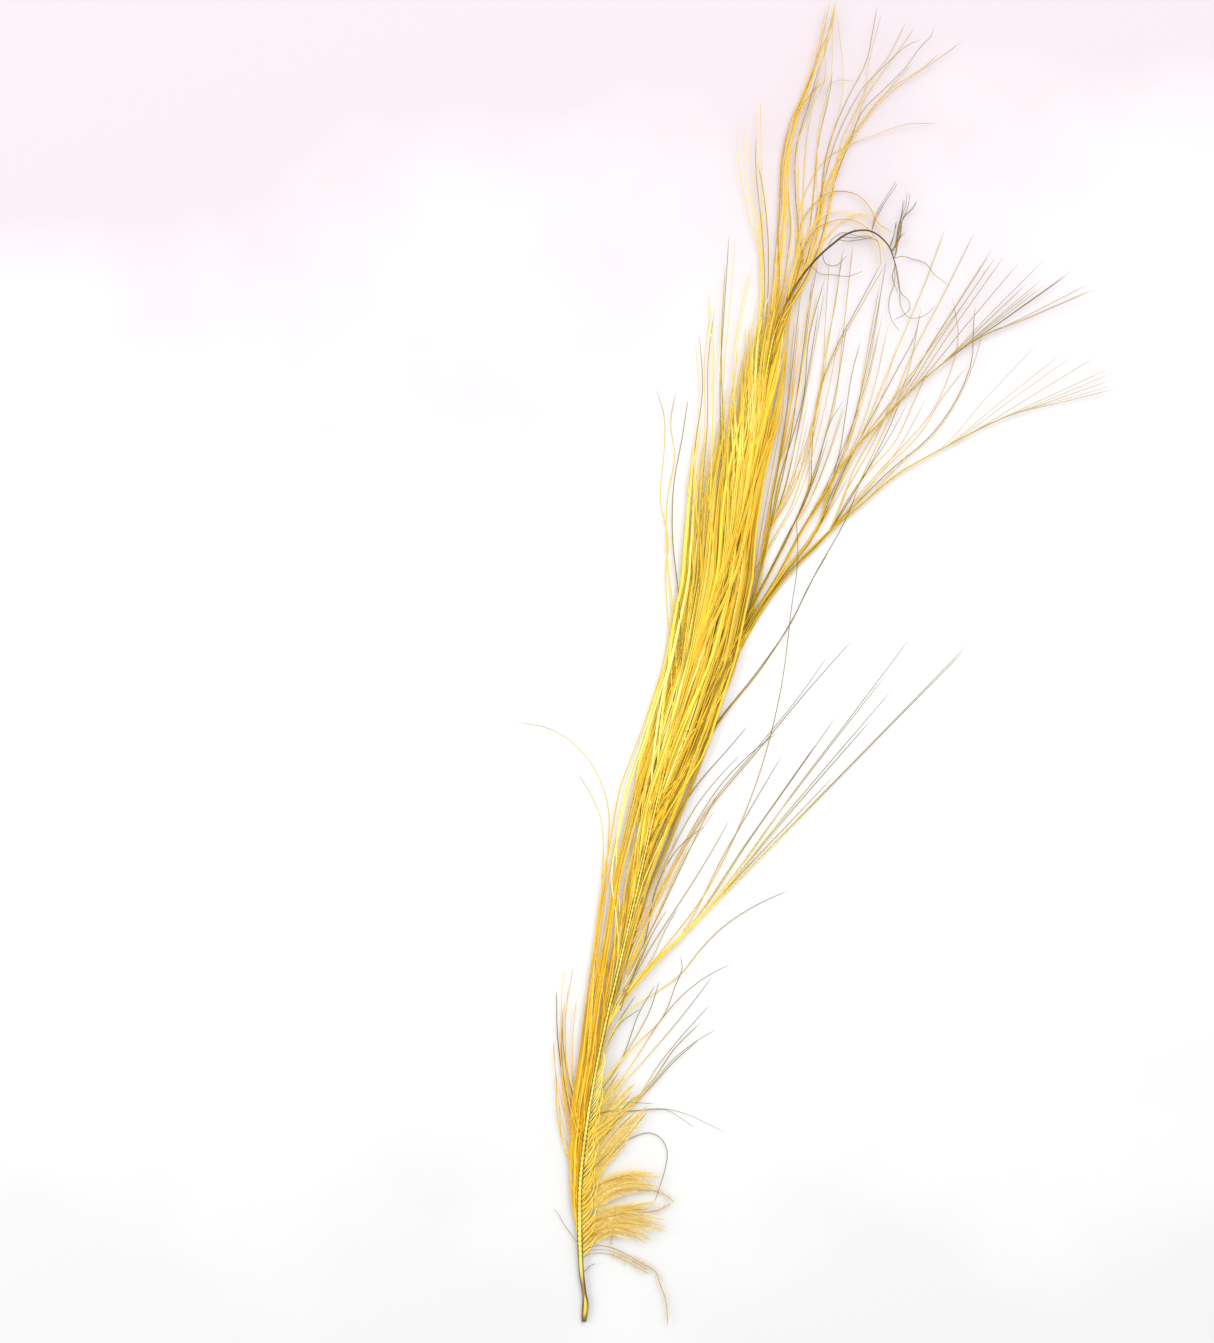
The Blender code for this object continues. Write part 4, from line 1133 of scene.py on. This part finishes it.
class PLUME_OT_add_dense_plume(bpy.types.Operator):
    """Add the long barbs that run side by side along the shaft"""

    bl_idname = "plume.add_dense_plume"
    bl_label = "Dense plume"

    # Lanes run from 0 at the plume's left edge to 1 at its right edge: how far up the barbs of a lane reach
    CEILING_LANES = (0.0, 0.12, 0.22, 0.3, 0.4, 0.5, 0.6, 0.85, 1.0)
    CEILINGS = (56.0, 62.0, 64.0, 66.0, 70.0, 78.0, 90.0, 92.0, 82.0)
    # The layers of each side, from the lowest to the highest: the shares of the plume's height between which
    # each lies
    LAYERS = (("under", 0.3, 0.6), ("middle", 0.5, 0.85), ("upper", 0.75, 1.0))
    # Each side: its first seed, its direction, its lanes, and where along the shaft its barbs are rooted
    SIDES = (
        ("left", 210, -1.0, (0.0, 0.72), (-118.0, 46.0)),
        ("right", 220, 1.0, (0.35, 1.0), (-100.0, 50.0)),
    )
    # The lowest roots, and where the comb of barbs at the base ends and how far apart its barbs are
    BASE = -134.0
    COMB_END = -92.0
    COMB_SPACING = 1.05
    # How many barbs the bundle at the base and the pale bed have
    BUNDLE_BARBS = 60
    BED_BARBS = 56
    # Points of a barb of the plume, how far from the shaft's middle it is rooted, and its lowest middle
    LANE_STEPS = 26
    ROOT_ASIDE = 0.42
    LOWEST_BARB = 0.15

    def execute(self, context):
        self.add_base_bundle(context)
        self.add_root_barbs(context)
        for number, (layer, low, high) in enumerate(self.LAYERS):
            for side, seed, direction, lanes, roots in self.SIDES:
                name = f"{side}_{layer}_barbs"
                self.add_side(context, name, seed + number, direction, lanes, roots, (low, high))
        self.add_bed(context)
        return {"FINISHED"}

    def add_root_barbs(self, context):
        """Add the bright barbs that stand off the right side of the shaft at its base, like a comb."""
        mesh = StrandMesh("root_barbs", 25)
        random = mesh.random
        share = np.linspace(0.0, 1.0, 10)
        for root_y in np.arange(self.BASE, self.COMB_END, self.COMB_SPACING):
            root_y += 0.3 * random.random()
            root_x, root_z = (float(value) for value in shaft_at(root_y))
            angle = math.radians(52.0 - 0.45 * (root_y - self.BASE) + 8.0 * random.random()) - 0.5 * share**2
            reach = (6.0 + 4.0 * random.random()) * share
            height = root_z + 0.1 - 0.7 * share
            line = np.stack([root_x + reach * np.sin(angle), root_y + reach * np.cos(angle), height], axis=1)
            mesh.add_barb(line, context.scene.plume_sizes.barb_width * 0.55, 0.12 + 0.3 * random.random())
        mesh.write(LONG[:1])

    def add_base_bundle(self, context):
        """Add the brown and golden barbs that hug the left side of the shaft at its base."""
        sizes = context.scene.plume_sizes
        mesh = StrandMesh("base_bundle_barbs", 24)
        random = mesh.random
        for _ in range(self.BUNDLE_BARBS):
            root_y = self.BASE + 1.0 + 28.0 * random.random()
            tip_y = root_y + 26.0 + 44.0 * random.random() ** 1.5
            line = self.lane_line(random, root_y, tip_y, 0.04 + 0.5 * random.random(), -1.0, (0.3, 1.0), 9.0)
            dark = random.random() < 0.55
            tone = 0.82 + 0.16 * random.random() if dark else 0.42 + 0.16 * random.random()
            web = 0.02 if dark else 0.08
            mesh.add_barb(line, sizes.barb_width * 0.5, tone, web=web, web_tone=0.4 + 0.3 * random.random())
        mesh.write(LONG[:1])

    def add_side(self, context, name, seed, side, lanes, roots, layers):
        """Add one layer of one side's barbs, whose roots are spread along the shaft."""
        sizes = context.scene.plume_sizes
        mesh = StrandMesh(name, seed)
        random = mesh.random
        count = sizes.barbs_per_side // len(self.LAYERS)
        for number in range(count):
            root_share = (number + random.random()) / count
            root_y = roots[0] + (roots[1] - roots[0]) * root_share**0.7
            lane = lanes[0] + (lanes[1] - lanes[0]) * random.random() ** 0.85
            if root_y > 5.0:
                lane = max(lane, 0.16 + 0.2 * random.random())
            reach = 92.0 + 46.0 * random.random() - 18.0 * root_share
            tip_y = min(root_y + reach, self.ceiling(lane) - 34.0 * random.random() ** 1.1)
            tip_y = max(tip_y, root_y + 40.0)
            line = self.lane_line(random, root_y, tip_y, lane, side, layers)
            tone, web_tone = self.tones(random, lane, root_y)
            grown = 0.15 + 0.85 * float(ease((root_y + 110.0) / 70.0))
            web = sizes.web_width * (0.6 + 0.8 * random.random()) * grown
            mesh.add_barb(line, sizes.barb_width / 2.0, tone, web=web, web_tone=web_tone, web_from=0.06,
                          web_to=0.76 + 0.22 * random.random())
        mesh.write(LONG[:1])

    def add_bed(self, context):
        """Add the broad pale barbs with fine barbules that lie side by side under the others."""
        sizes = context.scene.plume_sizes
        mesh = StrandMesh("pale_plume_barbs", 23)
        random = mesh.random
        growth = Growth(0.9, 2.6, 0.10, degrees=8.0, tone=0.12, start=0.35, stop=0.97, lift=0.02)
        for number in range(self.BED_BARBS):
            lane = 0.1 + 0.84 * (number + random.random()) / self.BED_BARBS
            root_y = -64.0 + 50.0 * random.random()
            spread = 10.0 if lane > 0.45 else 24.0
            tip_y = max(self.ceiling(lane) - 6.0 - spread * random.random(), root_y + 40.0)
            line = self.lane_line(random, root_y, tip_y, lane, -1.0 if lane < 0.5 else 1.0, (0.0, 0.3))
            mesh.add_barb(line, sizes.barb_width / 2.0, 0.2 + 0.3 * random.random(), growth,
                          web=sizes.web_width * 2.6, web_tone=0.02 + 0.22 * random.random() + 0.12 * lane,
                          web_from=0.1, web_to=0.97)
        mesh.write(LONG)

    def ceiling(self, lane):
        """Return how far up the barbs of a lane reach: furthest in the columns below the top tips."""
        return float(np.interp(lane, self.CEILING_LANES, self.CEILINGS))

    def lane_line(self, random, root_y, tip_y, lane, side, layers, settles_in=None):
        """Return the line of a barb that leaves the shaft and settles in its lane of the plume."""
        share = np.linspace(0.0, 1.0, self.LANE_STEPS)
        y = root_y + (tip_y - root_y) * share
        left, right, _, _ = plume_row(y)
        shaft_x, shaft_z = shaft_at(y)
        own_lane = (shaft_x + side * self.ROOT_ASIDE - left) / (right - left)
        wander = 0.03 * np.sin(share * (2.0 + 3.0 * random.random()) + 6.0 * random.random())
        if settles_in is None:
            settles_in = 9.0 + 12.0 * random.random() + 0.35 * max(root_y + 116.0, 0.0)
        settle = ease((y - root_y) / settles_in)
        aside = (random.random() - 0.5) * 0.2 * share**3
        # A barb that would stray over an edge of the plume turns back into it
        place = 1.0 - np.abs(1.0 - np.abs(own_lane + (lane + wander - own_lane) * settle + aside))
        x = left + (right - left) * place
        layer = layers[0] + (layers[1] - layers[0]) * random.random() ** 0.7
        height = plume_height(x, y, layer)
        height = shaft_z - 0.1 + (height - shaft_z + 0.1) * ease(share / 0.12)
        height += 0.06 * np.sin(share * 6.0 + 6.0 * random.random())
        return np.stack([x, y, np.maximum(height, self.LOWEST_BARB)], axis=1)

    def tones(self, random, lane, root_y):
        """Return the tones of a barb's ridge and web: deeper in the lower plume and on its right side."""
        deep = 0.14 * (lane > 0.45) + 0.14 * min(max((-30.0 - root_y) / 60.0, 0.0), 1.0)
        web_tone = 0.06 + 0.36 * random.random() + deep
        kind = random.random()
        if abs(lane - 0.5) > 0.42:
            return web_tone + 0.35, web_tone + 0.15
        if kind < 0.62:
            return 0.8 + 0.14 * random.random(), web_tone
        if kind < 0.72:
            return 0.15, 0.06
        return web_tone + 0.2, web_tone


def add_routes(name, seed, routes, finishes, half_width, tones, growth, steps=26, lift=1.6, companions=0,
               near=0.0, far=0.0, hidden=False, together=1, wave=0.25):
    """Add barbs along drawn routes, which stray by near early on; companions also stray by far at their tips.

    Barbs keep together in groups of the given number until they part. Hidden ones start inside the dense
    plume.
    """
    mesh = StrandMesh(name, seed)
    random = mesh.random
    for number, route in enumerate(routes):
        if number % together == 0:
            shared = stray(random, near)
        for companion in range(companions + 1):
            early = stray(random, near) if companion else shared
            drawn = strayed(route, early, stray(random, far if companion else 0.0), rooted=not hidden)
            if hidden:
                drawn = from_shaft(drawn, random)
            layer = between(random, 0.3, 1.0)
            rise = lift * (0.6 + 0.8 * random.random())
            line = laid_line(drawn, steps, random, rise, wave, layer)
            mesh.add_barb(line, half_width * (0.8 + 0.4 * random.random()), pick_tone(random, tones), growth)
    mesh.write(finishes)


def add_between(name, seed, guides, count, finishes, half_width, tones, growth, shortest=0.5, lift=1.2,
                layers=(0.3, 1.0), hidden=False, wave=0.3, far=0.0):
    """Add barbs of different lengths between the guides, from a shortest share of the guides' length.

    Hidden ones start inside the dense plume and leave it on a track.
    """
    mesh = StrandMesh(name, seed)
    random = mesh.random
    steps = 26
    for number in range(count):
        route = between_guides(guides, (number + random.random()) / count, steps)
        kept = round(steps * between(random, shortest, 1.0))
        route = strayed(route[:kept], 0.0, stray(random, far))
        if hidden:
            route = from_shaft(strayed(on_track(route), stray(random, 0.1), 0.0, rooted=False), random)
        layer = between(random, *layers)
        line = laid_line(route, steps, random, lift * (0.6 + 0.8 * random.random()), wave, layer)
        mesh.add_barb(line, half_width * (0.8 + 0.4 * random.random()), pick_tone(random, tones), growth)
    mesh.write(finishes)


def lone_half_width(context):
    """Return half the width of a barb that lies alone."""
    return context.scene.plume_sizes.single_width / 2.0


class PLUME_OT_add_spreading_barbs(bpy.types.Operator):
    """Add the barbs that leave the plume to the right, and the two fans of the upper side"""

    bl_idname = "plume.add_spreading_barbs"
    bl_label = "Spreading barbs"

    def execute(self, context):
        half_width = lone_half_width(context)
        growth = Growth(1.4, 1.2, 0.04, degrees=14.0, tone=0.3, start=0.5, stop=0.7)
        add_routes("edge_barbs", 35, EDGE_ROUTES, LONG, half_width * 0.9, (0.4, 0.8), growth, steps=42,
                   hidden=True, lift=1.0, companions=2, near=0.45, far=1.4)
        drawn = [on_track(route) for route in SPREADING_ROUTES]
        add_routes("spreading_barbs", 31, drawn, SPREADING, half_width * 0.8, (0.42, 1.0), growth, steps=42,
                   hidden=True, lift=1.2, near=0.1)
        add_between("finer_spreading_barbs", 34, SPREADING_GUIDES, 22, SPREADING, half_width * 0.7,
                    (0.4, 1.0), growth, hidden=True, wave=0.8, far=2.0)
        parting = Growth(1.0, 1.3, 0.04, degrees=16.0, tone=0.9, start=0.6)
        upper = [on_track(leave_stem(UPPER_FAN_STEM, x, (tip_x, tip_y)), TRACK_GAP * (number % 2))
                 for number, (x, tip_x, tip_y) in enumerate(UPPER_FAN_TIPS)]
        add_routes("upper_fan_barbs", 32, upper, FAN, half_width * 0.7, (0.45, 0.9), parting, steps=42,
                   hidden=True, lift=1.4, near=0.2)
        outer = [on_track(leave_stem(OUTER_FAN_STEM, x, (tip_x, tip_y)))
                 for x, tip_x, tip_y in OUTER_FAN_TIPS]
        add_routes("outer_fan_barbs", 33, outer, FAN, half_width * 0.52, (0.4, 0.6), parting, steps=42,
                   hidden=True, lift=1.4, near=0.3)
        return {"FINISHED"}


class PLUME_OT_add_lower_barbs(bpy.types.Operator):
    """Add the lower fan, the single barbs below it, and the fan at the base of the right side"""

    bl_idname = "plume.add_lower_barbs"
    bl_label = "Lower barbs"

    def execute(self, context):
        half_width = lone_half_width(context)
        growth = Growth(1.6, 1.3, 0.04, degrees=16.0, tone=0.45, stop=0.5)
        fan = [leave_stem(LOWER_FAN_STEM, x, (tip_x, tip_y)) for x, tip_x, tip_y in LOWER_FAN_TIPS]
        halo = Growth(1.0, 1.6, 0.04, degrees=16.0, tone=0.1, start=0.2, stop=0.7)
        add_routes("lower_fan_barbs", 41, fan, SINGLE, half_width * 0.7, (0.15, 0.8), halo, steps=30,
                   lift=1.2, near=1.4, together=2)
        add_routes("lower_side_barbs", 42, LOWER_ROUTES, SINGLE, half_width * 0.8, (0.6, 1.0), growth,
                   steps=34, lift=1.2, near=0.5)
        add_between("finer_side_barbs", 45, LOWER_SIDE_GUIDES, 8, SPREADING[:1], half_width * 0.7, (0.2, 0.9),
                    None, shortest=0.3, lift=1.0, wave=1.0, far=3.0)
        add_routes("single_barbs", 43, SINGLE_ROUTES, SINGLE, half_width * 0.75, (0.4, 0.95), growth,
                   lift=1.0, near=0.3)
        fringe = Growth(0.2, 1.9, 0.042, degrees=30.0, tone=0.36, start=0.1, stop=0.98, tone_spread=0.6,
                        fade=0.15, lift=0.2)
        add_between("base_fan_barbs", 44, BASE_FAN_GUIDES, 36, DOWN, half_width * 0.75, (0.3, 1.0), fringe,
                    layers=(0.5, 0.5), wave=0.4, far=1.6)
        return {"FINISHED"}


class PLUME_OT_add_left_barbs(bpy.types.Operator):
    """Add the loose barbs on the left side, from the base to the thin tips near the top"""

    bl_idname = "plume.add_left_barbs"
    bl_label = "Left barbs"

    def execute(self, context):
        half_width = lone_half_width(context)
        growth = Growth(1.2, 1.5, 0.05, degrees=14.0, tone=0.1, stop=0.7)
        add_routes("left_barbs", 51, LEFT_ROUTES, SPREADING, half_width * 0.85, (0.3, 1.0), growth, steps=28,
                   near=0.3)
        add_routes("upper_left_barbs", 53, UPPER_LEFT_ROUTES, LONG, half_width * 0.7, (0.25, 1.0), growth,
                   steps=28, near=0.5, companions=1, far=2.0)
        add_between("left_base_barbs", 52, LEFT_BASE_GUIDES, 12, LONG[:1], half_width * 0.65, (0.5, 1.0),
                    None, far=1.6)
        return {"FINISHED"}


class PLUME_OT_add_top_barbs(bpy.types.Operator):
    """Add the barbs that rise past the bent tip, and the arcs beside it"""

    bl_idname = "plume.add_top_barbs"
    bl_label = "Top barbs"

    def execute(self, context):
        half_width = lone_half_width(context)
        growth = Growth(1.5, 1.6, 0.04, degrees=14.0, tone=0.95, start=0.3, stop=0.8)
        add_routes("column_barbs", 63, COLUMN_ROUTES, LONG, half_width * 0.75, (0.3, 0.85), growth, steps=34,
                   lift=1.8, companions=1, near=1.4, far=1.2)
        add_routes("top_barbs", 61, TOP_ROUTES, SPREADING, half_width * 0.65, (0.4, 0.9), growth, steps=34,
                   lift=1.2, near=2.2, wave=1.2)
        add_routes("arc_barbs", 62, ARC_ROUTES, LONG[:1], half_width * 0.6, (0.45, 0.95), None, steps=30,
                   lift=1.8, companions=1, near=0.6, far=1.2)
        return {"FINISHED"}


class PLUME_OT_add_tip_wisps(bpy.types.Operator):
    """Add the dried wisps of the bent tip"""

    bl_idname = "plume.add_tip_wisps"
    bl_label = "Tip wisps"

    def execute(self, context):
        mesh = StrandMesh("tip_wisps", 71)
        random = mesh.random
        growth = Growth(0.8, 0.6, 0.03, degrees=30.0, tone=0.8, stop=0.8)
        for number, route in enumerate(TIP_ROUTES):
            # The wisps of the tuft are doubled
            for companion in range(2 if number < TUFT_WISPS else 1):
                drawn = strayed(route, stray(random, 0.1), stray(random, 0.6 * companion))
                away = np.hypot(SHAFT_LINE[:, 0] - drawn[0][0], SHAFT_LINE[:, 1] - drawn[0][1])
                root_height = float(SHAFT_LINE[int(np.argmin(away)), 2])
                line = laid_line(drawn, 20, random, 2.2, 0.2, root_height=root_height)
                mesh.add_barb(line, lone_half_width(context) * 0.5, 0.8 + 0.2 * random.random(), growth)
        mesh.write(WISP)
        return {"FINISHED"}


class PLUME_OT_add_down(bpy.types.Operator):
    """Add the soft down at the base: locks with fine barbules, and loose hairs"""

    bl_idname = "plume.add_down"
    bl_label = "Down"

    LOCK_STEPS = 14
    STRAND_STEPS = 18

    def execute(self, context):
        for number, (route, spread, count) in enumerate(DOWN_LOCKS, start=1):
            self.add_lock(f"down_lock_{number}", 80 + number, route, spread, count)
        growth = Growth(0.3, 2.0, 0.06, degrees=46.0, tone=0.95, start=0.4, stop=0.98, fade=0.1)
        half_width = lone_half_width(context) * 0.6
        add_routes("down_hairs", 91, DOWN_HAIRS, DOWN, half_width, (0.8, 1.0), growth, lift=0.8)
        add_routes("bare_hairs", 92, BARE_HAIRS, SINGLE[:1], half_width, (0.9, 1.0), None, lift=0.8)
        return {"FINISHED"}

    def add_lock(self, name, seed, route, spread, count):
        """Add a lock whose barbs spread from the shaft around its middle line."""
        mesh = StrandMesh(name, seed)
        random = mesh.random
        middle = smooth_route(route, self.LOCK_STEPS)
        share = np.linspace(0.0, 1.0, self.LOCK_STEPS)
        ahead = unit_length(np.gradient(middle, axis=0))
        fan = 0.25 * share + 0.75 * share**2
        for number in range(count):
            place = (number + random.random()) / count * 2.0 - 1.0
            aside = place * spread
            strand = middle.copy()
            strand[:, 0] += -ahead[:, 1] * aside * fan
            strand[:, 1] += ahead[:, 0] * aside * fan + place * 1.8 * (1.0 - share) ** 2
            strand[0, 0] = float(shaft_at(strand[0, 1])[0])
            kept = 7 + int(8 * random.random() ** 0.8)
            line = laid_line(strand[:kept], self.STRAND_STEPS, random, 1.4, 0.6, layer=0.4)
            arch = np.sin(share[kept - 1] * math.pi * np.linspace(0.0, 1.0, self.STRAND_STEPS))
            line[:, 2] += 1.0 * random.random() * arch
            growth = Growth(0.14, 2.2, 0.042, degrees=26.0 + 34.0 * random.random(),
                            tone=0.78 - 0.42 * abs(place), start=0.3, stop=1.0, sweep=0.25, lift=0.3,
                            tone_spread=0.6)
            mesh.add_barb(line, 0.07, 0.4 + 0.45 * random.random(), growth)
        mesh.write(DOWN)


class PLUME_OT_add_stage(bpy.types.Operator):
    """Add the pale floor, the soft lights and the camera above the plume"""

    bl_idname = "plume.add_stage"
    bl_label = "Stage"

    # Where the camera looks: the middle of the view, and the length of surface that it shows, in millimetres
    VIEW_MIDDLE = (-47.0, -1.5)
    VIEW_LENGTH = 304.3
    FLOOR_SIZE = 3.0
    SENSOR = 36.0

    def execute(self, context):
        power = context.scene.plume_stage.light_power
        self.add_floor()
        self.add_camera(context)
        self.add_light(context, "main_light", (0.25, 0.55, 1.1), 0.9, power)
        self.add_light(context, "side_light", (-0.9, 0.1, 0.75), 0.6, power * 0.45)
        self.add_sky(context)
        return {"FINISHED"}

    def add_floor(self):
        """Add the paper just below the lowest barb."""
        bpy.ops.mesh.primitive_plane_add(size=self.FLOOR_SIZE, location=(0.0, 0.0, 0.0))
        floor = bpy.context.object
        floor.name = "pale_floor"
        floor.data.materials.append(make_floor_finish())

    def add_camera(self, context):
        """Add the camera, which looks straight down."""
        height = context.scene.plume_stage.camera_height
        data = bpy.data.cameras.new("camera")
        data.sensor_width = self.SENSOR
        data.lens = self.SENSOR * height / (self.VIEW_LENGTH * UNIT)
        camera = bpy.data.objects.new("camera", data)
        camera.location = (self.VIEW_MIDDLE[0] * UNIT, self.VIEW_MIDDLE[1] * UNIT, height)
        context.scene.collection.objects.link(camera)
        context.scene.camera = camera

    def add_light(self, context, name, place, size, power):
        """Add a square soft light that faces the plume."""
        data = bpy.data.lights.new(name, "AREA")
        data.size = size
        data.energy = power
        light = bpy.data.objects.new(name, data)
        light.location = place
        light.rotation_euler = (-Vector(place)).to_track_quat("-Z", "Y").to_euler()
        context.scene.collection.objects.link(light)

    def add_sky(self, context):
        """Light everything evenly from all around, and show colours as they are."""
        world = bpy.data.worlds.new("studio")
        world.use_nodes = True
        sky = world.node_tree.nodes["Background"]
        sky.inputs["Color"].default_value = (1.0, 1.0, 1.0, 1.0)
        sky.inputs["Strength"].default_value = context.scene.plume_stage.sky_strength
        context.scene.world = world
        context.scene.view_settings.view_transform = "Standard"


class PLUME_PT_panel(bpy.types.Panel):
    """Plume panel in the sidebar"""

    bl_label = "Egret plume"
    bl_space_type = "VIEW_3D"
    bl_region_type = "UI"
    bl_category = "Plume"

    def draw(self, context):
        layout = self.layout
        for group in (context.scene.plume_sizes, context.scene.plume_colours, context.scene.plume_stage):
            box = layout.box()
            for name in group.__annotations__:
                box.prop(group, name)
        for operator in OPERATORS:
            layout.operator(operator.bl_idname)


OPERATORS = (
    PLUME_OT_add_stage,
    PLUME_OT_add_shaft,
    PLUME_OT_add_dense_plume,
    PLUME_OT_add_spreading_barbs,
    PLUME_OT_add_lower_barbs,
    PLUME_OT_add_left_barbs,
    PLUME_OT_add_top_barbs,
    PLUME_OT_add_tip_wisps,
    PLUME_OT_add_down,
)
CLASSES = (PlumeSizes, PlumeColours, StageSettings, *OPERATORS, PLUME_PT_panel)


def register():
    for item in CLASSES:
        bpy.utils.register_class(item)
    bpy.types.Scene.plume_sizes = bpy.props.PointerProperty(type=PlumeSizes)
    bpy.types.Scene.plume_colours = bpy.props.PointerProperty(type=PlumeColours)
    bpy.types.Scene.plume_stage = bpy.props.PointerProperty(type=StageSettings)


def unregister():
    del bpy.types.Scene.plume_stage
    del bpy.types.Scene.plume_colours
    del bpy.types.Scene.plume_sizes
    for item in reversed(CLASSES):
        bpy.utils.unregister_class(item)


def main():
    register()
    bpy.ops.plume.add_stage()
    bpy.ops.plume.add_shaft()
    bpy.ops.plume.add_dense_plume()
    bpy.ops.plume.add_spreading_barbs()
    bpy.ops.plume.add_lower_barbs()
    bpy.ops.plume.add_left_barbs()
    bpy.ops.plume.add_top_barbs()
    bpy.ops.plume.add_tip_wisps()
    bpy.ops.plume.add_down()


if __name__ == "__main__":
    main()
